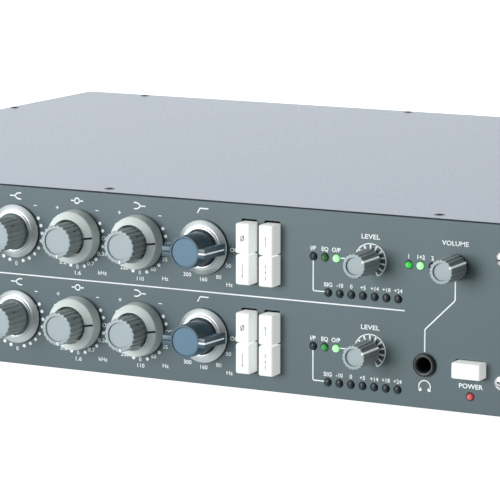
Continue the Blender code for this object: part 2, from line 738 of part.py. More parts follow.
def floor_board(name, low, high, parts):
    """A board on four posts above the case floor; parts adds the components it carries."""
    bodies = bmesh.new()
    for x in (low[0] + 6 * MM, high[0] - 6 * MM):
        for y in (low[1] + 6 * MM, high[1] - 6 * MM):
            add_post(bodies, x, y, POST_RADIUS, SHEET + GAP, FLOOR_BOARD_Z + BOARD / 2)
    parts(bodies, FLOOR_BOARD_Z + BOARD / 2)
    low = (*low, FLOOR_BOARD_Z)
    high = (*high, FLOOR_BOARD_Z + BOARD)
    board_with(name, "board", low, high, bodies, None)


def main_board():
    def parts(bodies, base):
        for i in range(6):
            x = (-175 + 46 * i) * MM
            add_box(bodies, (x, 118 * MM, base), (x + 20 * MM, 128 * MM, base + 11 * MM))
            add_post(bodies, x + 4 * MM, 60 * MM, 5 * MM, base, base + 22 * MM)
            add_post(bodies, x + 20 * MM, 20 * MM, 4 * MM, base, base + 14 * MM)
            add_box(bodies, (x, -70 * MM, base), (x + 26 * MM, -60 * MM, base + 9 * MM))

    floor_board("main_board", (-200 * MM, -120 * MM), (92 * MM, 148 * MM), parts)


def power_supply_board():
    def parts(bodies, base):
        for i in range(7):
            x = (112 + 8 * i) * MM
            add_box(bodies, (x, -100 * MM, base), (x + 2 * MM, -80 * MM, base + 30 * MM))
        add_post(bodies, 184 * MM, -130 * MM, 9 * MM, base, base + 30 * MM, 12)
        add_post(bodies, 150 * MM, -130 * MM, 9 * MM, base, base + 30 * MM, 12)

    floor_board("power_supply_board", (104 * MM, -146 * MM), (206 * MM, -76 * MM), parts)


def transformer(name, x, y, half):
    """A laminated core with its winding bulging out on both faces, standing on the case floor."""
    base = SHEET + GAP
    core = bmesh.new()
    add_box(core, (x - half, y - 0.4 * half, base), (x + half, y + 0.4 * half, base + 1.7 * half))
    item = make_object(name, core, "core")
    winding = bmesh.new()
    low = (x - 0.62 * half, y - 0.85 * half, base + 0.3 * half)
    add_box(winding, low, (x + 0.62 * half, y + 0.85 * half, base + 1.4 * half))
    boolean(item, make_object(name + "_winding", winding), "UNION")


def transformers():
    for channel, y in ((1, -40 * MM), (2, 10 * MM)):
        transformer(f"output_transformer_{channel}", 128 * MM, y, 20 * MM)
        transformer(f"input_transformer_{channel}", 180 * MM, y, 15 * MM)


def mains_transformer():
    """A toroidal mains transformer lying on the case floor."""
    outer = 38 * MM
    inner = 12 * MM
    low = SHEET + GAP
    high = low + 36 * MM
    ease = 6 * MM
    profile = [(outer, low + ease), (outer, high - ease), (outer - ease, high), (inner + ease, high)]
    profile += [(inner, high - ease), (inner, low + ease), (inner + ease, low), (outer - ease, low)]
    rings = []
    for radius, height in profile:
        rings.append([(px, pz, height) for px, _, pz in circle(radius, 0, ROUND)])
    shape = bmesh.new()
    loft(shape, rings, closed=True)
    make_object("mains_transformer", shape, "winding", (152 * MM, 92 * MM, 0))


def main():
    clear_scene()
    front_panel()
    chassis_tray()
    top_cover()
    rear_panel()
    combo_sockets()
    rear_sockets()
    iec_inlet()
    for channel in CHANNEL_HEIGHT:
        channel_knobs(channel)
        channel_buttons(channel)
        control_board(channel)
        meter_board(channel)
    small_knob("volume_knob", VOLUME_X, VOLUME_Z, KNOB_CLEARANCE)
    button("power_button", BUTTON_LENGTH / 2, BUTTON_WIDTH / 2, POWER_PROUD, POWER_X, JACK_Z)
    power_switch()
    headphone_jack()
    main_board()
    power_supply_board()
    transformers()
    mains_transformer()


main()
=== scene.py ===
"""The looks of a two-channel microphone preamp in a 19-inch rack case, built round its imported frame.

Lengths are in millimetres, as far as Piece.done, which scales a finished piece to the frame's metres.
Controls and sockets are made in a frame of their own with -Y out of the panel, so that a depth below 0
stands proud of it. The camera and the lights are placed in metres.
"""

import json
from math import cos, hypot, inf, pi, radians, sin

import bmesh
import bpy
from mathutils import Matrix, Vector


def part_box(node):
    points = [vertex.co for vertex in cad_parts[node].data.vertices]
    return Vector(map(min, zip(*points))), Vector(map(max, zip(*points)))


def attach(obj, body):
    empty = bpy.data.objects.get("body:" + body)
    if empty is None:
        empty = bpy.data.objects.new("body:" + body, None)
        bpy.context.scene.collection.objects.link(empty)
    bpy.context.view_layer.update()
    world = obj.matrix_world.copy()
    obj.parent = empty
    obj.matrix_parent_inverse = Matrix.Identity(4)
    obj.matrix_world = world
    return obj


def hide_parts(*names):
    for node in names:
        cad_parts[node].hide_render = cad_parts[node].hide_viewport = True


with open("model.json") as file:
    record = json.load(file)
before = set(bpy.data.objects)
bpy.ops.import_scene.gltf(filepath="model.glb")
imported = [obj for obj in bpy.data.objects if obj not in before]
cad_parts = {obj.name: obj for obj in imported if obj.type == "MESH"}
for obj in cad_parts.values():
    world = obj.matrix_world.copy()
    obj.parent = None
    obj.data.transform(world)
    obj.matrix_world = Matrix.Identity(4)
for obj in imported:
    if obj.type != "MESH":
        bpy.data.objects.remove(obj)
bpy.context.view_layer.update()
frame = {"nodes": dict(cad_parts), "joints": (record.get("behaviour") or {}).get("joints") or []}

MM = 0.001


def box(name):
    low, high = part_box(name)
    return low / MM, high / MM


# Places read from the frame.
PANEL_LOW, PANEL_HIGH = box("front_panel")
COVER_LOW, COVER_HIGH = box("top_cover")
FRONT = PANEL_LOW.y
PANEL_BACK = PANEL_HIGH.y
PANEL_TOP = PANEL_HIGH.z
REAR_FACE = box("rear_panel")[1].y
AXIS = {joint["child"]: Vector(joint["pos_m"]) / MM for joint in frame["joints"] if "pos_m" in joint}
CHANNELS = (1, 2)
CHANNEL_Z = {channel: AXIS[f"mid_gain_knob_{channel}"].z for channel in CHANNELS}
HF_X, MID_X, LOW_X, HPF_X, GAIN_X, TRIM_X, LEVEL_X = (
    AXIS[f"{kind}_knob_1"].x for kind in ("hf", "mid_gain", "low_gain", "hpf", "gain", "trim", "level"))
VOLUME_X = AXIS["volume_knob"].x

# Panel.
PANEL_EASE = 0.35
RACK_SLOT_X = 232.55
RACK_SLOT_RISE = 38.1
RACK_SLOT_HALF = (5.15, 3.4)
RACK_SLOT_EASE = 3.332
PANEL_SCREW_X = 213.7
PANEL_SCREW_Z = (72.4, 15.8)
BUTTON_MARGIN = 0.35
STACK_MARGIN_ABOVE = 0.95

# Lamps, as they stand on the boards behind the panel.
LED_RISE = 0.1
LED_HOLE = 1.8
LED_LENS = 1.62
POWER_LENS = 1.45
LED_PROUD = 1.2
LIT_PROUD = 1.9
SOURCE_X = (118.4, 124.3, 130.3)
METER_X = [126.0 + 5.95 * i for i in range(7)]
METER_DROP = 16.45
PHONES_X = (166.9, 172.8, 178.7)
POWER_LED = (198.1, 7.8)

# Printing.
INK = 0.04
CAP_HEIGHT = 0.72

# Knobs.
FLUTES = 20
FLUTE_NOTCH = 0.5
SMALL_FLUTES = 18
SMALL_NOTCH = 0.34
SMALL_LENGTH = 15.4
SHAFT_END = 12.0


# ---------------- finishes

FINISHES = {}


def node(tree, kind, **inputs):
    """A shader node with its inputs set: a value is set on the socket, a socket is linked to it."""
    made = tree.nodes.new("ShaderNode" + kind)
    for name, value in inputs.items():
        socket = made.inputs[int(name[1:])] if name[0] == "_" else made.inputs[name.replace("_", " ")]
        if isinstance(value, bpy.types.NodeSocket):
            tree.links.new(value, socket)
        else:
            socket.default_value = value
    return made


def mix(tree, factor, low, high):
    """A colour between two: each of them is a colour or a socket."""
    made = node(tree, "Mix", _0=factor)
    made.data_type = "RGBA"
    for socket, colour in zip(made.inputs[6:8], (low, high)):
        if isinstance(colour, bpy.types.NodeSocket):
            tree.links.new(colour, socket)
        else:
            socket.default_value = (*colour, 1.0)
    return made.outputs[2]


def finish(name, colour, roughness, tone=0.08, blotch=45.0, grain=1800.0, bump=0.03, spread=0.05,
           stretch=(1, 1, 1), bands=None, second=None, **sockets):
    """A Principled material with a mottled tone, a fine grain and roughness that varies with them.

    stretch draws the grain out along an axis, bands is the (axis, scale) of a stack of plates, and
    second is (axis, value, colour): the colour that is used above that coordinate."""
    material = bpy.data.materials.new(name)
    material.use_nodes = True
    tree = material.node_tree
    shader = tree.nodes["Principled BSDF"]
    place = node(tree, "TexCoord").outputs["Object"]
    drawn = node(tree, "Mapping", Vector=place, Scale=stretch).outputs[0]
    mottle = node(tree, "TexNoise", Vector=place, Scale=blotch, Detail=4.0).outputs["Fac"]
    fine = node(tree, "TexNoise", Vector=drawn, Scale=grain, Detail=2.0).outputs["Fac"]
    dark, light = ([min(1.0, part * factor) for part in colour] for factor in (1 - tone, 1 + tone))
    paint = mix(tree, mottle, dark, light)
    if second:
        axis, value, other = second
        split = node(tree, "SeparateXYZ", Vector=place).outputs[axis]
        above = node(tree, "Math", _0=split, _1=value * MM)
        above.operation = "GREATER_THAN"
        paint = mix(tree, above.outputs[0], paint, other)
    rough = node(tree, "MapRange", Value=fine, From_Min=0.3, From_Max=0.7,
                 To_Min=roughness - spread, To_Max=roughness + spread)
    relief = node(tree, "Bump", Height=fine, Strength=bump, Distance=0.0002)
    if bands:
        axis, scale = bands
        wave = node(tree, "TexWave", Vector=place, Scale=scale, Distortion=0.6, Detail_Scale=3.0)
        wave.bands_direction = axis
        relief = node(tree, "Bump", Height=wave.outputs["Fac"], Strength=0.12, Distance=0.0001,
                      Normal=relief.outputs[0])
    tree.links.new(paint, shader.inputs["Base Color"])
    tree.links.new(rough.outputs[0], shader.inputs["Roughness"])
    tree.links.new(relief.outputs[0], shader.inputs["Normal"])
    for socket, value in sockets.items():
        shader.inputs[socket.replace("_", " ")].default_value = value
    FINISHES[name] = material
    return material


def make_finishes():
    finish("panel_paint", (0.052, 0.074, 0.084), 0.43, tone=0.03, blotch=18, grain=2600, bump=0.02,
           spread=0.02, Specular_IOR_Level=0.85, Specular_Tint=(0.78, 0.97, 1.0, 1.0))
    finish("panel_bevel", (0.03, 0.04, 0.046), 0.6, tone=0.05, blotch=40, grain=2600,
           Specular_IOR_Level=0.2)
    # Near black for the panel's top, side and hole-wall faces; on the top face this is painted shade, the
    # dark line between panel and cover.
    finish("panel_edge_painted_shade", (0.02, 0.026, 0.03), 0.7, tone=0.1, grain=2600, Specular_IOR_Level=0.1)
    # The cover's light blue is partly its paint and partly painted reflection, the sheen of the bright
    # surroundings at a grazing view.
    finish("cover_paint_and_sheen", (0.29, 0.36, 0.47), 0.28, tone=0.03, blotch=9, grain=2600, bump=0.02, spread=0.02,
           Specular_IOR_Level=0.7)
    finish("zinc", (0.52, 0.53, 0.54), 0.36, tone=0.12, blotch=70, grain=500, bump=0.03, spread=0.09,
           stretch=(0.12, 1, 1), Metallic=0.95)
    finish("ink", (0.86, 0.90, 0.91), 0.45, tone=0.02, bump=0.01)
    # Painted light: the knobs' white line glows, standing in for light that keeps it bright in the knobs'
    # shade.
    finish("white_line_painted_glow", (0.52, 0.54, 0.54), 0.4, tone=0.02, bump=0.01,
           Emission_Color=(0.95, 1.0, 1.0, 1.0), Emission_Strength=0.42)
    finish("dark_ink", (0.02, 0.02, 0.025), 0.5, tone=0.05, bump=0.01)
    for name, colour, roughness, tone, blotch, bump in (
        ("grey_plastic", (0.36, 0.41, 0.415), 0.38, 0.05, 200, 0.03),
        ("cap_plastic", (0.34, 0.41, 0.43), 0.42, 0.03, 200, 0.03),
        ("ring_plastic", (0.66, 0.73, 0.70), 0.38, 0.03, 160, 0.04),
        ("blue_plastic", (0.052, 0.105, 0.14), 0.36, 0.06, 160, 0.02),
        ("blue_cap", (0.085, 0.185, 0.27), 0.44, 0.03, 160, 0.02),
        ("red_plastic", (0.36, 0.022, 0.018), 0.32, 0.06, 160, 0.02),
        ("red_cap", (0.50, 0.05, 0.04), 0.40, 0.03, 160, 0.02),
    ):
        finish(name, colour, roughness, tone, blotch, 3000, bump)
    finish("spun_aluminium", (0.58, 0.62, 0.63), 0.44, tone=0.01, blotch=60, grain=900, bump=0.0,
           spread=0.0, Metallic=1.0)
    # Painted light: the buttons' white plastic glows, standing in for the light that keeps their shaded
    # sides bright.
    finish("white_plastic_painted_glow", (0.52, 0.54, 0.52), 0.36, tone=0.015, blotch=120, grain=2600, bump=0.02,
           Emission_Color=(0.97, 1.0, 0.97, 1.0), Emission_Strength=0.45)
    finish("glyph_ink", (0.13, 0.12, 0.115), 0.5, tone=0.03, bump=0.01)
    finish("black_plastic", (0.022, 0.023, 0.026), 0.36, tone=0.15, blotch=120, grain=1800, bump=0.05)
    finish("dark_plastic", (0.085, 0.095, 0.095), 0.4, tone=0.15, blotch=120, grain=1800, bump=0.05)
    finish("black_mark", (0.012, 0.012, 0.014), 0.5, tone=0.1, bump=0.01)
    finish("bright_steel", (0.70, 0.71, 0.72), 0.24, tone=0.05, grain=900, bump=0.02, Metallic=1.0)
    finish("black_steel", (0.016, 0.016, 0.018), 0.5, tone=0.15, grain=1500, bump=0.04, Metallic=0.2)
    finish("contact_metal", (0.72, 0.66, 0.50), 0.25, tone=0.06, grain=900, bump=0.02, Metallic=1.0)
    finish("lamp_off", (0.022, 0.036, 0.044), 0.3, tone=0.15, blotch=300, grain=900, bump=0.01,
           Specular_IOR_Level=0.35)
    glow("lamp_dim", (0.03, 0.07, 0.03), (0.01, 0.05, 0.01), (0.02, 0.09, 0.02))
    glow("lamp_half", (0.04, 0.12, 0.05), (0.01, 0.12, 0.02), (0.03, 0.24, 0.04))
    glow("lamp_green", (0.03, 0.20, 0.05), (0.01, 0.26, 0.03), (0.04, 0.55, 0.06))
    glow("lamp_bright", (0.12, 0.40, 0.12), (0.01, 0.40, 0.04), (0.50, 0.95, 0.52))
    glow("lamp_red", (0.25, 0.05, 0.05), (0.12, 0.005, 0.01), (0.56, 0.09, 0.09))
    board = (0.016, 0.10, 0.045)
    parts = (0.035, 0.035, 0.04)
    finish("floor_board", board, 0.42, tone=0.2, blotch=260, grain=900, second=(2, 11.7, parts))
    finish("panel_board", parts, 0.45, tone=0.25, blotch=260, grain=900,
           second=(1, FRONT + 15.2, board))
    finish("laminations", (0.06, 0.06, 0.065), 0.45, tone=0.2, blotch=160, grain=900,
           bands=("X", 700.0), Metallic=0.5)
    finish("winding_tape", (0.42, 0.26, 0.05), 0.4, tone=0.15, blotch=120, grain=900,
           bands=("DIAGONAL", 160.0))


def glow(name, colour, rim, middle):
    """A lit lens: its light goes from the rim colour, at the panel, to the middle colour at its tip."""
    made = finish(name, colour, 0.25, tone=0.1, blotch=400, grain=900, bump=0.01)
    tree = made.node_tree
    shader = tree.nodes["Principled BSDF"]
    place = node(tree, "TexCoord").outputs["Object"]
    depth = node(tree, "SeparateXYZ", Vector=place).outputs["Y"]
    edge = node(tree, "MapRange", Value=depth, From_Min=(FRONT - 0.75 * LIT_PROUD) * MM,
                From_Max=FRONT * MM).outputs[0]
    tree.links.new(mix(tree, edge, middle, rim), shader.inputs["Emission Color"])
    shader.inputs["Emission Strength"].default_value = 1.0


# ---------------- shapes

def new_object(name, data, place=(0, 0, 0)):
    item = bpy.data.objects.new(name, data)
    item.location = place
    bpy.context.scene.collection.objects.link(item)
    return item


def eased(points, steps=4):
    """Rounds each (x, y, ease) corner of a path; ease is how far from the corner the curve starts."""
    path = []
    for i, (x, y, ease) in enumerate(points):
        corner = Vector((x, y))
        if not ease:
            path.append((x, y))
            continue
        before = Vector(points[i - 1][:2])
        after = Vector(points[(i + 1) % len(points)][:2])
        start = corner + (before - corner).normalized() * ease
        end = corner + (after - corner).normalized() * ease
        for k in range(steps + 1):
            t = k / steps
            path.append(tuple(start * (1 - t) ** 2 + corner * 2 * t * (1 - t) + end * t * t))
    return path


def rectangle(half_width, half_height, ease, x=0.0, z=0.0, steps=4):
    corners = ((-1, -1), (1, -1), (1, 1), (-1, 1))
    return eased([(x + sx * half_width, z + sz * half_height, ease) for sx, sz in corners], steps)


def round_path(radius, x=0.0, z=0.0, segments=48, start=0.0, sweep=360.0):
    """Points along a circle or, with a sweep under 360 degrees, an arc. Angles run from 3 o'clock up."""
    count = segments if sweep == 360.0 else segments + 1
    angles = [radians(start + sweep * i / segments) for i in range(count)]
    return [(x + radius * cos(a), z + radius * sin(a)) for a in angles]


class Piece:
    """Collects closed solids in one mesh, each with its own finish, and makes one object of them."""

    def __init__(self, name):
        self.name = name
        self.shape = bmesh.new()
        self.finishes = []

    def index(self, finish_name):
        if finish_name not in self.finishes:
            self.finishes.append(finish_name)
        return self.finishes.index(finish_name)

    def skin(self, rings, finish_name, closed=False, caps=True, wrap=True):
        """Joins rings of equal point counts into a surface."""
        rows = [[self.shape.verts.new(point) for point in ring] for ring in rings]
        faces = []
        pairs = list(zip(rows, rows[1:]))
        if closed:
            pairs.append((rows[-1], rows[0]))
        elif caps:
            faces.append(self.shape.faces.new(rows[0]))
            faces.append(self.shape.faces.new(reversed(rows[-1])))
        for one, two in pairs:
            for i in range(len(one) if wrap else len(one) - 1):
                j = (i + 1) % len(one)
                faces.append(self.shape.faces.new((one[i], two[i], two[j], one[j])))
        for face in faces:
            face.material_index = self.index(finish_name)
        return faces

    def turned(self, profile, finish_name, segments=64, closed=False, flutes=0, at=(0, 0)):
        """Turns (radius, depth) or (radius, depth, notch) points about the Y axis through at."""
        rings = []
        for radius, depth, *notch in profile:
            ring = []
            for i in range(segments):
                angle = 2 * pi * i / segments
                reach = radius
                if flutes and notch:
                    reach -= notch[0] * (0.5 + 0.5 * cos(flutes * angle)) ** 2.6
                ring.append((at[0] + reach * cos(angle), depth, at[1] + reach * sin(angle)))
            rings.append(ring)
        return self.skin(rings, finish_name, closed)

    def prism(self, sections, finish_name):
        """Skins a solid through (depth, outline) sections."""
        self.skin([[(x, depth, z) for x, z in outline] for depth, outline in sections], finish_name)

    def stroke(self, path, width, finish_name, depths=None, closed=False, bent=None):
        """A flat band of even width along a path in the XZ plane, between two depths."""
        near, far = depths or (FRONT - INK, FRONT + INK)
        rings = []
        for i, (x, z) in enumerate(path):
            before = Vector(path[i - 1] if i or closed else path[0])
            after = Vector(path[(i + 1) % len(path)] if i + 1 < len(path) or closed else path[-1])
            here = Vector((x, z))
            first = (here - before).normalized() if here != before else (after - here).normalized()
            second = (after - here).normalized() if here != after else first
            along = (first + second).normalized()
            side = Vector((-along.y, along.x)) * width / 2 / max(0.4, along.dot(first))
            lift = bent(x, z) if bent else 0.0
            rings.append([(x + s * side.x, depth + lift, z + s * side.y)
                          for s, depth in ((1, near), (-1, near), (-1, far), (1, far))])
        self.skin(rings, finish_name, closed)

    def dot(self, x, z, radius, finish_name, segments=14, depths=None):
        near, far = depths or (FRONT - INK, FRONT + INK)
        self.turned([(radius, far), (radius, near)], finish_name, segments, at=(x, z))

    def add(self, mesh, finish_name, matrix=None):
        """Adds a ready mesh, which is then freed."""
        old = len(self.shape.faces)
        if matrix:
            mesh.transform(matrix)
        self.shape.from_mesh(mesh)
        self.shape.faces.ensure_lookup_table()
        for face in self.shape.faces[old:]:
            face.material_index = self.index(finish_name)
        bpy.data.meshes.remove(mesh)

    def plate(self, outline, holes, near, far, ease, finish_name):
        self.add(plate_mesh(outline, holes, near, far, ease), finish_name)

    def done(self, body, slot, at=(0, 0, 0), replaces=(), turn=0.0, sharp=32, flat=False):
        """The finished object, riding on its body."""
        bmesh.ops.scale(self.shape, vec=(MM, MM, MM), verts=self.shape.verts)
        bmesh.ops.remove_doubles(self.shape, verts=self.shape.verts, dist=1e-6)
        bmesh.ops.recalc_face_normals(self.shape, faces=self.shape.faces)
        mesh = bpy.data.meshes.new(self.name)
        self.shape.to_mesh(mesh)
        self.shape.free()
        for name in self.finishes:
            mesh.materials.append(FINISHES[name])
        mesh.shade_smooth()
        mesh.set_sharp_from_angle(angle=radians(sharp))
        for face in mesh.polygons:
            face.use_smooth = not (flat and abs(face.normal.y) > 0.999)
        item = new_object(self.name, mesh, Vector(at) * MM)
        item.rotation_euler.z = turn
        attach(item, body)
        if replaces:
            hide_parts(*replaces)
        return item


def evaluated_mesh(item):
    """A new mesh of an object as it looks now; the object is removed."""
    bpy.context.scene.collection.objects.link(item)
    bpy.context.view_layer.update()
    graph = bpy.context.evaluated_depsgraph_get()
    mesh = bpy.data.meshes.new_from_object(item.evaluated_get(graph))
    bpy.data.objects.remove(item)
    return mesh


UPRIGHT = Matrix.Rotation(pi / 2, 4, "X")


def plate_mesh(outline, holes, near, far, ease):
    """A flat plate in the XZ plane between two depths, with holes and eased edges."""
    curve = bpy.data.curves.new("plate", "CURVE")
    curve.dimensions = "2D"
    curve.fill_mode = "BOTH"
    for path in [outline, *holes]:
        spline = curve.splines.new("POLY")
        spline.points.add(len(path) - 1)
        for point, (x, z) in zip(spline.points, path):
            point.co = (x, z, 0, 1)
        spline.use_cyclic_u = True
    curve.extrude = (far - near) / 2 - ease
    curve.bevel_depth = ease
    curve.bevel_resolution = 1
    curve.offset = -ease
    mesh = evaluated_mesh(bpy.data.objects.new("plate", curve))
    mesh.transform(Matrix.Translation((0, (near + far) / 2, 0)) @ UPRIGHT)
    return mesh


def word_mesh(text, height, weight):
    curve = bpy.data.curves.new("word", "FONT")
    curve.body = text
    curve.size = height / CAP_HEIGHT
    curve.align_x = "CENTER"
    curve.align_y = "CENTER"
    curve.extrude = INK
    curve.offset = weight
    curve.resolution_u = 3
    return evaluated_mesh(bpy.data.objects.new("word", curve))


def write(piece, text, x, z, height, finish_name="ink", weight=0.02, width=1.0, depth=None, turn=0.0,
          back=False):
    """Prints a word with its centre at x, z; turn is in degrees, and back is for the rear panel."""
    mesh = word_mesh(text, height, weight)
    squeeze = Matrix.Diagonal((width, 1, 1, 1))
    facing = Matrix.Rotation(pi, 4, "Z") if back else Matrix.Identity(4)
    place = Matrix.Translation((x, FRONT if depth is None else depth, z))
    spin = Matrix.Rotation(radians(turn), 4, "Z")
    piece.add(mesh, finish_name, place @ facing @ UPRIGHT @ spin @ squeeze)


def boolean_mesh(mesh, other, operation="DIFFERENCE"):
    """The first mesh cut by, or joined with, the second. It works in metres, where it leaves no slivers."""
    for each in (mesh, other):
        each.transform(Matrix.Scale(MM, 4))
    item = bpy.data.objects.new("base", mesh)
    tool = new_object("tool", other)
    change = item.modifiers.new("change", "BOOLEAN")
    change.operation = operation
    change.object = tool
    result = evaluated_mesh(item)
    result.transform(Matrix.Scale(1 / MM, 4))
    bpy.data.objects.remove(tool)
    return result


def shape_mesh(draw):
    """The mesh that draw(piece) makes."""
    piece = Piece("shape")
    draw(piece)
    bmesh.ops.recalc_face_normals(piece.shape, faces=piece.shape.faces)
    mesh = bpy.data.meshes.new("shape")
    piece.shape.to_mesh(mesh)
    piece.shape.free()
    return mesh


# ---------------- case

def panel_holes():
    holes = []
    for side in (-1, 1):
        for rise in (-1, 1):
            centre = PANEL_TOP / 2 + rise * RACK_SLOT_RISE
            holes.append(rectangle(*RACK_SLOT_HALF, RACK_SLOT_EASE, side * RACK_SLOT_X, centre, 8))
    holes += [round_path(3.5, axis.x, axis.z, 24) for name, axis in AXIS.items() if "ring" not in name]
    for channel in CHANNELS:
        holes.append(round_path(12.0, middle_of(f"combo_socket_{channel}").x, CHANNEL_Z[channel], 64))
        for column in ("left", "a", "b"):
            low = box(f"button_{column}_lower_{channel}")[0]
            high = box(f"button_{column}_upper_{channel}")[1]
            holes.append(slot_round(low, high, STACK_MARGIN_ABOVE))
    jack = middle_of("headphone_jack")
    holes.append(round_path(4.8, jack.x, jack.z, 32))
    holes.append(slot_round(*box("power_button"), BUTTON_MARGIN))
    holes.extend(round_path(LED_HOLE, x, z, 24) for x, z, _ in lamps())
    return holes


def slot_round(low, high, above):
    left, right = low.x - BUTTON_MARGIN, high.x + BUTTON_MARGIN
    bottom, top = low.z - BUTTON_MARGIN, high.z + above
    half_width, half_height = (right - left) / 2, (top - bottom) / 2
    return rectangle(half_width, half_height, 0.9, (left + right) / 2, (bottom + top) / 2)


def middle_of(name):
    low, high = box(name)
    return (low + high) / 2


def lamps():
    """(x, z, finish) of every lamp on the panel."""
    found = []
    for channel in CHANNELS:
        z = CHANNEL_Z[channel] + LED_RISE
        looks = ("lamp_off", "lamp_dim" if channel == 1 else "lamp_half", "lamp_bright")
        found += [(x, z, look) for x, look in zip(SOURCE_X, looks)]
        found += [(x, z - METER_DROP, "lamp_off") for x in METER_X]
    z = CHANNEL_Z[1] + LED_RISE
    found += [(x, z, look) for x, look in zip(PHONES_X, ("lamp_green", "lamp_bright", "lamp_off"))]
    return found + [(*POWER_LED, "lamp_red")]


def front_panel():
    half = (PANEL_HIGH.x - PANEL_LOW.x) / 2
    outline = rectangle(half, PANEL_TOP / 2, 0.5, 0, PANEL_TOP / 2, 3)
    piece = Piece("panel_plate")
    piece.plate(outline, panel_holes(), FRONT, PANEL_BACK, PANEL_EASE, "panel_paint")
    edge = piece.index("panel_edge_painted_shade")
    bevel = piece.index("panel_bevel")
    for face in piece.shape.faces:
        face.normal_update()
        middle = face.calc_center_median()
        # Faces across the plate's thickness get the near-black edge finish: on the top face, painted shade.
        if abs(face.normal.y) < 0.2 and middle.y - FRONT > PANEL_EASE:
            face.material_index = edge
        elif middle.z > PANEL_TOP - PANEL_EASE and face.normal.y < -0.2:
            face.material_index = bevel
    piece.done("root", "panel", replaces=["front_panel"], sharp=50, flat=True)


def top_cover():
    """A lid folded from one sheet: a bend along each side, and a lip below it."""
    sheet = 1.2
    bend = 2.2
    half = (COVER_HIGH.x - COVER_LOW.x) / 2
    low, high = COVER_LOW.z, COVER_HIGH.z
    outer = eased([(-half, low, 0), (-half, high, bend), (half, high, bend), (half, low, 0)], 6)
    inner = eased([(half - sheet, low, 0), (half - sheet, high - sheet, bend - sheet),
                   (sheet - half, high - sheet, bend - sheet), (sheet - half, low, 0)], 6)
    piece = Piece("cover_sheet")
    rings = [[(x, y, z) for x, z in outer + inner] for y in (COVER_LOW.y, COVER_HIGH.y)]
    # Its finish is partly paint and partly painted reflection.
    piece.skin(rings, "cover_paint_and_sheen")
    item = piece.done("root", "cover", replaces=["top_cover"])
    ease_edges(item, 0.25)


def ease_edges(item, width):
    bevel = item.modifiers.new("ease", "BEVEL")
    bevel.width = width * MM
    bevel.segments = 2
    bevel.limit_method = "ANGLE"
    bevel.angle_limit = radians(40)
    bevel.harden_normals = True


def screw_mesh(radius, height, drive, cross=True):
    """A domed screw head facing -Y, with a cross or a hexagon driven into it."""
    dome = eased([(radius * 0.92, 0.3, 0), (radius, 0, 0.1), (radius * 0.86, -height * 0.72, 0.5),
                  (radius * 0.45, -height, 0.4), (radius * 0.2, -height, 0)])

    def driver(piece):
        if not cross:
            piece.turned([(drive * 0.8, -0.25 * height), (drive, -2 * height)], "bright_steel", 6)
            return
        sections = []
        for depth, long, short in ((-2, drive, drive * 0.26), (-0.1, drive * 0.86, drive * 0.182)):
            quarter = [(long, -short), (long, short), (short, short)]
            turns = ((1, 0, 0, 1), (0, -1, 1, 0), (-1, 0, 0, -1), (0, 1, -1, 0))
            outline = [(a * x + b * z, c * x + d * z) for a, b, c, d in turns for x, z in quarter]
            sections.append((depth * height, outline))
        piece.prism(sections, "bright_steel")

    head = shape_mesh(lambda piece: piece.turned(dome, "bright_steel", 40))
    return boolean_mesh(head, shape_mesh(driver))


def screws(name, finish_name, slot, facing, places, *size):
    """Copies of one screw at (x, y, z) places; facing turns them from -Y."""
    head = screw_mesh(*size)
    piece = Piece(name)
    for i, place in enumerate(places):
        spin = Matrix.Rotation(radians(37.0 * i), 4, "Y")
        piece.add(head.copy(), finish_name, Matrix.Translation(place) @ facing @ spin)
    bpy.data.meshes.remove(head)
    piece.done("root", slot)


def case_screws():
    forward, up, back = Matrix.Identity(4), Matrix.Rotation(-pi / 2, 4, "X"), Matrix.Rotation(pi, 4, "Z")
    places = [(side * PANEL_SCREW_X, FRONT, z) for side in (-1, 1) for z in PANEL_SCREW_Z]
    screws("panel_screws", "bright_steel", "fastener", forward, places, 3.85, 2.3, 2.0)
    top = COVER_HIGH.z
    places = [(x, y, top) for y in (FRONT + 15.2, COVER_HIGH.y - 4.8) for x in (-175, 0.5, 175)]
    places += [(side * 213, FRONT + 270, top) for side in (-1, 1)]
    screws("cover_screws", "black_steel", "black_screw", up, places, 2.65, 0.2, 1.2, False)
    places = [(x, REAR_FACE, z) for x in (-205, 60, 205) for z in (9, 78)]
    screws("rear_screws", "bright_steel", "fastener", back, places, 2.6, 1.1, 1.4)


# ---------------- printing

def line(piece, *path, width=0.62, closed=False):
    piece.stroke(path, width, "ink", closed=closed)


def spot(x, z, reach, angle):
    """The point at a distance and an angle, in degrees up from 3 o'clock, from x, z."""
    return (x + reach * cos(radians(angle)), z + reach * sin(radians(angle)))


def band_print(piece, x, z, labels, zero_drop):
    """Dots round an equaliser knob, except where a label stands; labels are (right, up, text) from it."""
    for step in range(1, 9):
        for side in (-1, 1):
            dot = spot(x, z - 0.3, 14.65, -90 + side * 15 * step)
            gaps = [hypot(x + right - dot[0], z + up - dot[1]) for right, up, _ in labels[1:]]
            if min(gaps, default=inf) > 2.0 and not (labels and side > 0 and step == 6):
                piece.dot(*dot, 0.86, "ink")
    write(piece, "0", x - 0.1, z - zero_drop, 2.0)
    for half_width, half_height, side in ((0.85, 0.21, -1), (0.21, 0.85, -1), (0.9, 0.21, 1)):
        bar = rectangle(half_width, half_height, 0, x + side * 11.05, z + 13.1)
        piece.prism([(FRONT + INK, bar), (FRONT - INK, bar)], "ink")
    frequencies(piece, x, z, labels)


def frequencies(piece, x, z, labels):
    for right, up, text in labels:
        height = 2.0 if "z" in text else 1.95
        write(piece, text, x + right, z + up, height, width=1.25 if "." in text else 1.1)


def knob_scale(piece, x, z):
    """An arc with a tick at each step, open at the bottom."""
    radius, ticks, sweep = 7.9, 13, 302
    start = -90 + (360 - sweep) / 2
    line(piece, *round_path(radius, x, z, 64, start, sweep), width=0.5)
    for i in range(ticks):
        angle = start + sweep * i / (ticks - 1)
        line(piece, spot(x, z, radius, angle), spot(x, z, radius - 3.1, angle), width=0.85)


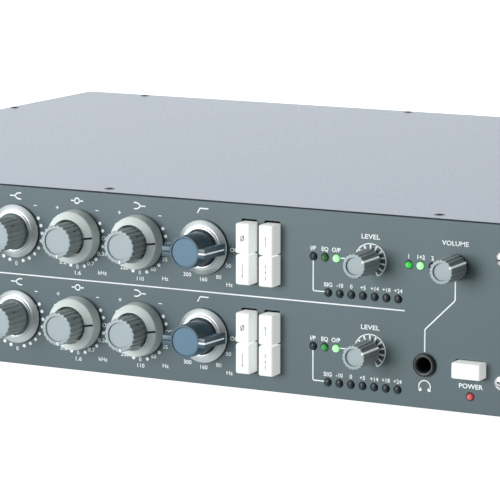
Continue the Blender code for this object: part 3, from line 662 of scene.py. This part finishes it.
def channel_print(piece, channel):
    z = CHANNEL_Z[channel]
    band_print(piece, HF_X, z, [], 16.2)
    band_print(piece, MID_X, z, MID_LABELS, 15.05)
    band_print(piece, LOW_X, z, LOW_LABELS, 15.05)
    frequencies(piece, HPF_X, z, HPF_LABELS)
    fork(piece, HF_X, z + 17.2, 1)
    fork(piece, LOW_X, z + 17.05, -1)
    # The bell's ring with a line at each side, and the corner of the high-pass.
    line(piece, *round_path(1.3, MID_X, z + 17.1, 28), closed=True)
    for side in (-1, 1):
        line(piece, (MID_X + side * 1.3, z + 17.1), (MID_X + side * 3.4, z + 17.1))
    line(piece, (HPF_X - 3.3, z + 15.9), (HPF_X - 1.8, z + 18.3), (HPF_X + 2.7, z + 18.3))
    for x, text in zip((118.14, 124.24, 130.04), ("I/P", "EQ", "O/P")):
        write(piece, text, x, z + 3.9, 2.0, weight=0.06)
    write(piece, "LEVEL", LEVEL_X + 0.03, z + 11.4, 2.2, weight=0.05, width=1.22)
    knob_scale(piece, LEVEL_X, AXIS[f"level_knob_{channel}"].z)
    for x, text in zip(METER_X, ("SIG", "-10", "0", "+5", "+14", "+18", "+24")):
        write(piece, text, x - 0.02, z - 12.6, 1.95, weight=0.04, width=1.15 if text == "SIG" else 1.0)
    corner = eased([(118.25, z - 1.8, 0), (118.25, z - 16.0, 0.9), (METER_X[0] - 1.9, z - 16.0, 0)])
    line(piece, *corner, width=0.55)
    line(piece, (SOURCE_X[2] + 1.8, z + 0.4), (LEVEL_X - 6, z + 0.4), width=0.5)
    gain_print(piece, z)
    write(piece, "TRIM", TRIM_X, z + 11.3, 2.2, weight=0.07, width=1.15)
    knob_scale(piece, TRIM_X, AXIS[f"trim_knob_{channel}"].z)


MID_LABELS = ((16.1, -0.2, "OFF"), (13.8, -7.8, "0.36"), (7.3, -13.0, "0.7"), (-0.1, -18.1, "1.6"),
              (-8.3, -13.5, "3.2"), (-13.8, -7.8, "4.8"), (-15.6, -0.2, "7.2"), (13.8, -17.0, "kHz"))
LOW_LABELS = ((16.1, -0.4, "OFF"), (13.7, -7.8, "35"), (7.3, -13.0, "60"), (0.0, -18.1, "110"),
              (-8.6, -13.4, "220"), (13.8, -17.0, "Hz"))
HPF_LABELS = ((16.7, -0.4, "OFF"), (13.3, -8.0, "50"), (8.1, -13.85, "80"), (-0.2, -15.6, "160"),
              (-8.8, -13.9, "300"), (13.8, -17.05, "Hz"))


def fork(piece, x, z, way):
    """The shelf symbol: a line that splits into two curved prongs."""
    line(piece, (x - way * 3.3, z), (x - way * 0.6, z))
    for rise in (-1.5, 1.5):
        bend, tip = (x + way * 1.1, z + rise, 1.0), (x + way * 3.1, z + rise, 0)
        line(piece, *eased([(x - way * 0.6, z, 0), bend, tip]))


def gain_print(piece, z):
    for i in range(7):
        angle = radians(210 - 40 * i)
        write(piece, str(20 + 10 * i), GAIN_X + 15.6 * cos(angle), z + 15.0 * sin(angle), 1.8, width=1.17)
    write(piece, "GAIN", GAIN_X - 15.0, z + 17.5, 2.2, weight=0.07, width=1.15)


def lettering():
    piece = Piece("panel_lettering")
    for channel in CHANNELS:
        channel_print(piece, channel)
    z = CHANNEL_Z[1]
    for x, text in zip((166.82, 172.82, 178.72), ("1", "1+2", "2")):
        write(piece, text, x, z + 3.87, 2.0, weight=0.06, width=0.98)
    write(piece, "VOLUME", VOLUME_X - 0.14, z + 11.5, 2.2, weight=0.05, width=1.1)
    write(piece, "POWER", POWER_LED[0] + 0.1, 12.43, 2.2, weight=0.05, width=1.12)
    line(piece, (-176, 44.6), (165, 44.6), width=0.6)
    lead = eased([(VOLUME_X, 60.2, 0), (VOLUME_X, 51.4, 0.8), (175.2, 36.8, 0.8), (175.2, 26.4, 0)], 3)
    line(piece, *lead, width=0.6)
    # The headphone symbol.
    x, z = 175.3, 10.48
    line(piece, *round_path(2.9, x, z - 0.3, 24, -25, 230), width=0.5)
    for side in (-1, 1):
        piece.dot(x + side * 2.3, z - 1.7, 0.85, "ink")
    piece.done("root", "lettering", sharp=60)


# ---------------- controls

def shaft(piece, radius, base):
    piece.turned([(radius - 0.3, SHAFT_END), (radius, SHAFT_END - 0.3), (radius, base)],
                 "bright_steel", 24)


def fluted_knob(piece, base, front, base_radius, radius, recess, depth, flutes, notch):
    """A fluted barrel with a rim at its front, and the flat cap let into it."""
    barrel = [(base_radius - 1.0, base, 0), (base_radius - 0.25, base, notch),
              (base_radius, base - 0.25, notch), (radius, front + 0.35, notch),
              (radius - 0.12, front + 0.1, notch), (radius - 0.35, front, notch * 0.8),
              (recess + 0.15, front, 0), (recess, front + 0.12, 0), (recess, front + depth + 0.5, 0)]
    rim = piece.index("cap_plastic")
    for face in piece.turned(barrel, "grey_plastic", flutes * 10, flutes=flutes):
        middle = face.calc_center_median()
        if middle.y < front + 0.13 and middle.xz.length > recess:
            face.material_index = rim
    face = front + depth
    insert = [(recess - 0.03, face + 0.45), (recess - 0.03, face + 0.2), (recess - 0.2, face),
              (recess * 0.5, face - 0.03), (0.3, face - 0.04)]
    piece.turned(insert, "cap_plastic", 64)


def side_line(piece, angle, front, base, radius, base_radius, inner, width=0.75):
    """The white line of a knob: across the rim, and down its barrel. Angle 0 is 3 o'clock, in degrees."""
    turn = radians(angle)
    lift = 0.06
    half = width / 2
    rings = []
    for reach, depth, out, back in ((inner, front, 0, -lift), (radius - 0.5, front, 0, -lift),
                                    (radius - 0.1, front + 0.1, lift * 0.8, -lift * 0.8),
                                    (radius, front + 0.45, lift, 0), (base_radius, base, lift, 0)):
        top, under = (reach + out, depth + back), (reach - out, depth - back)
        rings.append([(r * cos(turn) - side * sin(turn), d, r * sin(turn) + side * cos(turn))
                      for side, (r, d) in ((half, top), (-half, top), (-half, under), (half, under))])
    # The line's finish glows: painted light, so it stays bright where the knob shades it.
    piece.skin(rings, "white_line_painted_glow")


def grub_screw(piece, angle, depth, radius):
    """A black set screw in the barrel, a little proud of its flutes."""
    out = Vector((cos(radians(angle)), 0, sin(radians(angle))))
    along = Vector((0, 1, 0))
    side = out.cross(along)
    round_16 = [along * z + side * x for z, x in round_path(1.0, segments=16)]
    piece.skin([[out * (radius + reach) + along * depth + point * size for point in round_16]
                for size, reach in ((1.05, -1.0), (1.05, 0.02), (0.55, 0.02), (0.5, -0.5))], "black_mark")


def small_knob(name, piece_name, base):
    piece = Piece(piece_name)
    front = base - SMALL_LENGTH
    shaft(piece, 3.0, base - 0.5)
    fluted_knob(piece, base, front, 6.1, 5.65, 4.05, 0.9, SMALL_FLUTES, SMALL_NOTCH)
    side_line(piece, 25, front, base - 0.2, 5.65, 6.1, 4.5, 0.85)
    piece.done(name, "grey_knob", AXIS[name], [name])


def skirt(piece, look):
    """The spun aluminium dish under a large knob: a cone, a raised bead and a groove round the neck."""
    low, crest, floor, neck = -0.8, -3.6, -2.3, 7.0
    profile = eased([(4.0, low, 0), (13.1, low, 0.15), (13.1, low - 0.7, 0.25), (10.4, -3.05, 0.5),
                     (10.1, -3.0, 0.1), (9.95, crest, 0.3), (8.85, crest, 0.3), (8.5, -2.9, 0.2),
                     (neck, floor, 0), (4.0, floor, 0)], 5)
    piece.turned(profile, "spun_aluminium", 96)
    piece.turned([(neck + 0.1, floor + 0.2), (neck + 0.1, -5.2)], look, 64)


def band_knob(name, piece_name, base, skirted):
    """The large fluted knob, on an aluminium skirt or inside a frequency ring."""
    front = -20.0
    piece = Piece(piece_name)
    if skirted:
        shaft(piece, 3.0, -2.0)
        skirt(piece, "grey_plastic")
    else:
        shaft(piece, 1.7, base - 0.5)
    fluted_knob(piece, base, front, 8.05, 8.05, 6.15, 0.7, FLUTES, FLUTE_NOTCH)
    side_line(piece, -87, front, base - 0.2, 8.05, 8.05, 6.4)
    grub_screw(piece, 33, -13.0, 7.75)
    piece.done(name, "grey_knob", AXIS[name], [name])


def frequency_ring(name, piece_name):
    """The outer knob: a cylinder with a sloping face, and on it a dark line set just above level."""
    bore, hole, outer, base = 2.0, 9.1, 12.6, 13.1
    low, floor, shoulder, front = -0.8, -2.6, -7.0, -9.6
    lift = 0.05
    piece = Piece(piece_name)
    profile = eased([(bore, 9.0, 0.2), (3.0, 9.0, 0.2), (3.0, low, 0.2), (base, low, 0.2),
                     (outer, shoulder, 0.35), (hole + 0.2, front, 0.2), (hole, front + 0.35, 0.15),
                     (hole, floor, 0.3), (bore, floor, 0.2)], 3)
    piece.turned(profile, "ring_plastic", 96, closed=True)
    slope = (front - shoulder) / (hole + 0.2 - outer)
    path = [spot(0, 0, reach, 3.5) for reach in (hole + 0.2, outer - 0.15)]
    piece.stroke(path, 0.95, "black_mark", (shoulder - lift, shoulder + 0.3),
                 bent=lambda x, z: (hypot(x, z) - outer) * slope)
    piece.done(name, "ring_knob", AXIS[name], [name])


WING_FRONT = -18.8
WING_BASE = -3.9
WING_RECESS = 6.8
# From the tail's tip to the pointer's: (reach, base, front, half width, depth of the tail's groove).
WING_SECTIONS = (
    (-12.4, WING_BASE, -4.3, 2.5, 0.0),
    (-12.25, WING_BASE, WING_FRONT + 0.6, 2.4, 0.3),
    (-11.9, WING_BASE, WING_FRONT + 0.2, 2.4, 0.6),
    (-7.2, WING_BASE, WING_FRONT + 0.2, 2.4, 0.6),
    (7.2, WING_BASE, WING_FRONT + 0.1, 2.35, 0.0),
    (10.7, WING_BASE, WING_FRONT + 0.1, 2.35, 0.0),
    (11.05, -2.6, WING_FRONT + 0.45, 2.35, 0.0),
    (12.35, -1.6, -3.1, 2.6, 0.0),
    (12.45, -1.6, -2.4, 2.6, 0.0),
)


def wings(piece, look):
    rings = []
    for reach, base, front, wide, groove in WING_SECTIONS:
        sink = min(0.0, reach) * 0.01
        ease = min(0.4, (base - front) * 0.25)
        half = [(base, wide + 0.15), (front + ease, wide), (front + 0.3 * ease, wide - 0.3 * ease),
                (front, wide - ease), (front, 0.3)]
        edge = [(depth, -z) for depth, z in half] + [(front + groove, 0.0)] + half[::-1]
        rings.append([(reach, depth, z + sink) for depth, z in edge])
    piece.skin(rings, look)


def wing_knob(name, piece_name, colour):
    """A switch knob: a barrel with a pointer wing and a ridged tail wing, on an aluminium skirt."""
    look = colour + "_plastic"
    recess = WING_RECESS
    barrel = eased([(5.0, WING_BASE + 0.6, 0), (8.1, WING_BASE + 0.6, 0.2), (8.1, WING_BASE, 0.3),
                    (7.75, WING_FRONT, 0.35), (recess, WING_FRONT, 0.12), (recess, WING_FRONT + 1.6, 0)], 3)
    scoop = [(recess, WING_FRONT + 1.5), (recess, WING_FRONT - 3)]
    wing = boolean_mesh(shape_mesh(lambda piece: wings(piece, look)),
                        shape_mesh(lambda piece: piece.turned(scoop, look, 72)))
    whole = boolean_mesh(shape_mesh(lambda piece: piece.turned(barrel, look, 72)), wing, "UNION")
    piece = Piece(piece_name)
    shaft(piece, 3.0, -2.0)
    skirt(piece, look)
    piece.add(whole, look)
    face = WING_FRONT + 0.5
    piece.turned([(recess - 0.02, face + 0.4), (recess - 0.02, face + 0.15), (recess - 0.2, face),
                  (0.3, face - 0.03)], colour + "_cap", 64)
    # The pointer's white line; its finish glows, which is painted light.
    rings = []
    for reach, depth, half in ((6.95, WING_FRONT + 0.04, 0.42), (10.7, WING_FRONT + 0.04, 0.42),
                               (11.13, WING_FRONT + 0.42, 0.36), (12.42, -3.1, 0.3)):
        rings.append([(reach, depth + near, side * half)
                      for side, near in ((-1, -0.03), (1, -0.03), (1, 0.4), (-1, 0.4))])
    piece.skin(rings, "white_line_painted_glow")
    return piece.done(name, colour + "_knob", AXIS[name], [name])


def button(name, piece_name, glyph=None):
    """A white cap with eased edges and a slightly crowned face, on the stem that works its switch."""
    low, high = box(name)
    middle, half = (low + high) / 2, (high - low) / 2
    proud = FRONT - low.y
    ease = 0.95
    sections = [(1.6, 0.3), (1.6, 0.06), (1.2, 0.0), (ease - proud, 0.03)]
    for k in range(1, 6):
        a = radians(90 * k / 5)
        sections.append((ease * (1 - sin(a)) - proud, 0.03 + ease * (1 - cos(a)) * 0.85))
    sections.append((-proud - 0.02, ease + 0.9))
    outlines = [rectangle(half.x - inset, half.z - inset, max(0.25, ease - inset * 0.6))
                for _, inset in sections]
    piece = Piece(piece_name)
    # The cap's plastic glows: painted light that keeps its shaded sides bright.
    piece.prism([(depth, outline) for (depth, _), outline in zip(sections, outlines)], "white_plastic_painted_glow")
    piece.prism([(depth, rectangle(1.4, 1.4, 0)) for depth in (9.8, 1.5)], "white_plastic_painted_glow")
    if glyph:
        glyph(piece, -proud - 0.03)
    piece.done(name, "button", (middle.x, FRONT, middle.z), [name])


def strokes(*lines):
    """A symbol of (width, point, point ...) lines; one of many points is closed to a ring."""
    def draw(piece, depth):
        for width, *path in lines:
            piece.stroke(path, width, "glyph_ink", (depth - INK, depth + INK), closed=len(path) > 3)
    return draw


def word_glyph(text):
    def draw(piece, depth):
        write(piece, text, 0, 0, 1.5, "glyph_ink", depth=depth, turn=-90)
    return draw


GLYPHS = {
    "left_upper": word_glyph("MIC"),
    "left_lower": word_glyph("48V"),
    "a_upper": strokes((0.34, *[(0.75 * x, z) for x, z in round_path(1.15, 0, 0.1, 20)]),
                       (0.34, (-0.9, -1.5), (0.9, 1.6))),
    "a_lower": strokes((0.26, (0, 2.7), (0, -2.7)), (0.5, (0, -2.7), (0, -3.5))),
    "b_upper": strokes((0.3, (-0.4, 1.6), (0.3, 0.9), (-0.3, 0.2)), (0.2, (0, 0.2), (0, -2.8))),
    "b_lower": strokes((0.3, (0, 3.4), (0, 1.6)), (0.42, (0, 0.4), (0, -0.9)), (0.3, (0, -2.1), (0, -3.9))),
}


def lamps_on_panel():
    """One piece for each look, as the lamps of one look are one part in different places."""
    groups = {}
    for x, z, look in lamps():
        groups.setdefault(look, []).append((x, z))
    for look, places in groups.items():
        piece = Piece(look.replace("lamp", "lamps"))
        lens = POWER_LENS if look == "lamp_red" else LED_LENS
        proud = LED_PROUD if look == "lamp_off" else LIT_PROUD
        lens += 0.25 if look == "lamp_bright" else 0.0
        for x, z in places:
            dome = [(LED_LENS, FRONT + 2.0), (LED_LENS, FRONT), (lens, FRONT - 0.1)]
            for k in range(1, 9):
                a = radians(90 * k / 8.4)
                dome.append((lens * cos(a), FRONT - 0.1 - (proud - 0.1) * sin(a)))
            piece.turned(dome, look, 24, at=(x, z))
        piece.done("root", "lamp")


def jack():
    """The headphone socket: a black bezel, a dark grey ring in it, and the sleeve behind."""
    piece = Piece("jack_socket")
    bezel = eased([(7.0, 28.0, 0), (7.0, 3.6, 0.3), (4.5, 3.6, 0.1), (4.5, -0.05, 0.1), (5.5, -0.05, 0.1),
                   (5.5, -1.5, 0.4), (4.75, -1.9, 0.1), (4.6, -1.3, 0.1), (3.9, -1.3, 0.1),
                   (3.35, -0.6, 0.3), (3.3, 20.0, 0)], 4)
    piece.turned(bezel, "black_plastic", 56)
    ring = [(4.58, -1.2), (4.58, -1.75), (4.35, -1.85), (4.05, -1.75), (4.05, -1.2)]
    piece.turned(ring, "dark_plastic", 56, closed=True)
    place_socket(piece, "headphone_jack", False)


def socket_flange(piece, mouth):
    """The rounded square plate of a round connector, with a countersunk screw in two corners."""
    outline = rectangle(13.0, 15.5, 3.0, steps=6)
    piece.plate(outline, [round_path(mouth, segments=64)], -2.1, -0.05, 0.3, "black_plastic")
    for side in (-1, 1):
        place = Matrix.Translation((side * 9.5, -2.1, side * -12.0))
        piece.add(screw_mesh(2.3, 0.5, 1.2), "bright_steel", place)


def contacts(reach):
    """The three places of a microphone connector's contacts."""
    return [(reach * cos(radians(angle)), reach * sin(radians(angle))) for angle in (30, 150, 270)]


def round_socket(name, piece_name, kind):
    """kind is combo, on the front panel, or female or male, on the rear panel."""
    piece = Piece(piece_name)
    mouth = 9.6
    socket_flange(piece, mouth + 0.6)
    floor = 11.8 if kind == "male" else 1.0
    shell = eased([(11.6, 22.0, 0), (11.6, 0.3, 0.2), (10.15, 0.3, 0.1), (10.15, -1.95, 0.2),
                   (mouth, -1.95, 0.2), (mouth, floor, 0.2), (mouth - 1.6, floor, 0)], 4)
    piece.turned(shell, "black_plastic", 64)
    if kind == "male":
        pin = eased([(1.2, floor + 1, 0), (1.2, 0.2, 0.8), (0.3, 0.2, 0)], 4)
        for place in contacts(5.6):
            piece.turned(pin, "contact_metal", 20, at=place)
        insert = [(mouth - 0.1, floor + 0.6), (mouth - 0.1, floor - 0.05), (0.4, floor - 0.05)]
        piece.turned(insert, "black_plastic", 48)
    else:
        face = -1.2
        holes = [round_path(3.3, segments=40)] if kind == "combo" else []
        holes += [round_path(1.3, x, z, 20) for x, z in contacts(6.0)]
        piece.plate(round_path(8.2, segments=64), holes, face, floor + 2.0, 0.25, "black_plastic")
        piece.plate(rectangle(2.6, 1.3, 0.5, 0, 12.4, 3), [], -2.7, -1.8, 0.3, "bright_steel")
        if kind == "combo":
            sleeve = [(3.6, 18), (3.6, face + 0.2), (3.3, face + 0.2), (3.3, 18)]
            piece.turned(sleeve, "bright_steel", 40, closed=True)
    place_socket(piece, name, kind != "combo")


def place_socket(piece, name, at_back):
    middle = middle_of(name)
    face, turn = (REAR_FACE, pi) if at_back else (FRONT, 0.0)
    piece.done("root", "socket", (middle.x, face, middle.z), [name], turn=turn)


def mains_inlet():
    """A flange with cut corners, and a body whose cavity has its two upper corners cut."""
    half_width, half_height = 13.5, 9.8
    wall = 1.8
    cut = 3.4
    low_edge = [(-24, -4, 2), (-16.5, -11.3, 2), (16.5, -11.3, 2), (24, -4, 2)]
    flange = eased(low_edge + [(-x, -z, ease) for x, z, ease in low_edge], 5)
    right, top = half_width - wall, half_height - wall
    corners = ((-right, -top), (right, -top), (right, top - cut), (right - cut, top), (cut - right, top),
               (-right, top - cut))
    cavity = eased([(x, z, 0.6) for x, z in corners], 3)
    body = rectangle(half_width, half_height, 1)
    piece = Piece("mains_inlet")
    piece.plate(flange, [cavity], -2.3, -0.05, 0.3, "black_plastic")
    piece.plate(body, [cavity], -0.1, 12.0, 0.2, "black_plastic")
    piece.plate(body, [], 11.9, 20, 0.3, "black_plastic")
    for x, z in ((-7, -2), (0, 3.0), (7, -2)):
        piece.plate(rectangle(1.0, 2.0, 0.2, x, z, 2), [], 1.0, 12.0, 0.2, "contact_metal")
    for side in (-1, 1):
        piece.add(screw_mesh(2.6, 0.8, 1.3), "bright_steel", Matrix.Translation((side * 20, -2.3, 0)))
    place_socket(piece, "iec_inlet", True)


def rear_lettering():
    words = {"iec_inlet": "POWER IN"}
    for channel in CHANNELS:
        for kind, text in (("mic_input", "MIC"), ("line_input", "LINE"), ("line_output", "OUTPUT")):
            words[f"{kind}_{channel}"] = f"{text} {channel}"
    piece = Piece("rear_lettering")
    for name, text in words.items():
        write(piece, text, middle_of(name).x, 67, 3.0, "dark_ink", depth=REAR_FACE, back=True)
    piece.done("root", "lettering", sharp=60)


def controls():
    for channel in CHANNELS:
        for kind in ("trim", "level"):
            small_knob(f"{kind}_knob_{channel}", f"{kind}_knob_body_{channel}", -2.2)
        band_knob(f"hf_knob_{channel}", f"hf_knob_body_{channel}", -4.6, True)
        for band in ("mid", "low"):
            band_knob(f"{band}_gain_knob_{channel}", f"{band}_gain_knob_body_{channel}", -3.2, False)
            frequency_ring(f"{band}_frequency_ring_{channel}", f"{band}_ring_body_{channel}")
        wing_knob(f"hpf_knob_{channel}", f"hpf_knob_body_{channel}", "blue")
        gain = wing_knob(f"gain_knob_{channel}", f"gain_knob_body_{channel}", "red")
        gain.data.transform(Matrix.Rotation(radians(-90), 4, "Y"))
        for place, glyph in GLYPHS.items():
            button(f"button_{place}_{channel}", f"button_cap_{place}_{channel}", glyph)
    small_knob("volume_knob", "volume_knob_body", -0.8)
    button("power_button", "power_button_cap")


def sockets():
    jack()
    for channel in CHANNELS:
        round_socket(f"combo_socket_{channel}", f"combo_body_{channel}", "combo")
        for name, kind in (("mic_input", "female"), ("line_input", "female"), ("line_output", "male")):
            round_socket(f"{name}_{channel}", f"{name}_body_{channel}", kind)
    mains_inlet()


# What the CAD solids that stay in view are made of, by name without the channel's number.
CAD_FINISHES = {
    "chassis_tray": "zinc",
    "rear_panel": "zinc",
    "control_board": "panel_board",
    "meter_board": "panel_board",
    "power_switch": "panel_board",
    "main_board": "floor_board",
    "power_supply_board": "floor_board",
    "input_transformer": "laminations",
    "output_transformer": "laminations",
    "mains_transformer": "winding_tape",
}


def carried_over():
    for name, item in frame["nodes"].items():
        look = CAD_FINISHES.get(name.rstrip("_12"))
        if look:
            item.data.materials.clear()
            item.data.materials.append(FINISHES[look])
            ease_edges(item, 0.2)


# ---------------- studio

CAMERA_PLACE = (0.75280, -1.44791, 0.30709)
CAMERA_YAW = 27.788
CAMERA_PITCH = 9.538
CAMERA_LENS = 223.83


def camera():
    data = bpy.data.cameras.new("camera")
    data.lens = CAMERA_LENS
    data.sensor_width = 36
    item = new_object("camera", data, CAMERA_PLACE)
    item.rotation_euler = (radians(90 - CAMERA_PITCH), 0, radians(CAMERA_YAW))
    bpy.context.scene.camera = item


def key_light():
    place = Vector((-1.0, -2.45, 0.6))
    data = bpy.data.lights.new("key", "AREA")
    data.shape = "RECTANGLE"
    data.size, data.size_y = 1.3, 1.5
    data.energy = 53
    item = new_object("key", data, place)
    item.rotation_euler = (Vector((0, -0.15, 0.04)) - place).to_track_quat("-Z", "Y").to_euler()
    item.visible_camera = False


def studio():
    """A world that is bright at the left, behind and steeply below, and dark in front at the right."""
    world = bpy.data.worlds.new("studio")
    bpy.context.scene.world = world
    world.use_nodes = True
    tree = world.node_tree
    tree.nodes.clear()
    place = node(tree, "TexCoord").outputs["Generated"]
    x, y, z = node(tree, "SeparateXYZ", Vector=place).outputs

    def ramp(value, start, end, low, high):
        made = node(tree, "MapRange", Value=value, From_Min=start, From_Max=end, To_Min=low, To_Max=high)
        made.interpolation_type = "SMOOTHSTEP"
        return made.outputs[0]

    def join(operation, one, two):
        made = node(tree, "Math", _0=one, _1=two)
        made.operation = operation
        return made.outputs[0]

    left = join("MULTIPLY", ramp(x, 0.0, -0.5, 0.02, 1.0), ramp(z, 0.98, 0.6, 0.1, 1.0))
    left = join("MULTIPLY", left, ramp(z, -0.45, -0.15, 0.3, 1.0))
    behind = join("MULTIPLY", ramp(y, 0.05, 0.5, 0.0, 1.25), ramp(z, 0.7, 0.35, 0.2, 1.0))
    below = join("MULTIPLY", ramp(z, -0.15, -0.6, 0.0, 1.0), ramp(x, 0.6, -0.3, 0.4, 1.0))
    above = ramp(z, 0.0, 0.4, 0.0, 0.25)
    total = join("MAXIMUM", join("MAXIMUM", left, behind), join("MAXIMUM", below, above))
    lit = node(tree, "Background", Color=(0.95, 0.98, 1.0, 1.0), Strength=total)
    seen = node(tree, "Background", Color=(1, 1, 1, 1), Strength=1.0)
    camera_ray = node(tree, "LightPath").outputs["Is Camera Ray"]
    mixed = node(tree, "MixShader", _0=camera_ray, _1=lit.outputs[0], _2=seen.outputs[0])
    node(tree, "OutputWorld", Surface=mixed.outputs[0])
    bpy.context.scene.view_settings.view_transform = "Standard"


def floor():
    """White paper that only the camera sees: the world stands for the light that it sends back."""
    mesh = bpy.data.meshes.new("studio_floor")
    mesh.from_pydata([(x, y, 0) for x, y in rectangle(12.0, 12.0, 0)], [], [(0, 1, 2, 3)])
    material = bpy.data.materials.new("floor_paper")
    material.use_nodes = True
    shader = material.node_tree.nodes["Principled BSDF"]
    shader.inputs["Base Color"].default_value = (0.82, 0.83, 0.84, 1)
    shader.inputs["Roughness"].default_value = 0.9
    shader.inputs["Emission Color"].default_value = (1, 1, 1, 1)
    shader.inputs["Emission Strength"].default_value = 0.9
    mesh.materials.append(material)
    item = new_object("studio_floor", mesh, (0, 0, -0.5 * MM))
    item.visible_diffuse = False
    item.visible_glossy = False
    item.visible_shadow = False


def main():
    make_finishes()
    camera()
    key_light()
    studio()
    floor()
    front_panel()
    top_cover()
    carried_over()
    case_screws()
    lettering()
    controls()
    lamps_on_panel()
    sockets()
    rear_lettering()


main()
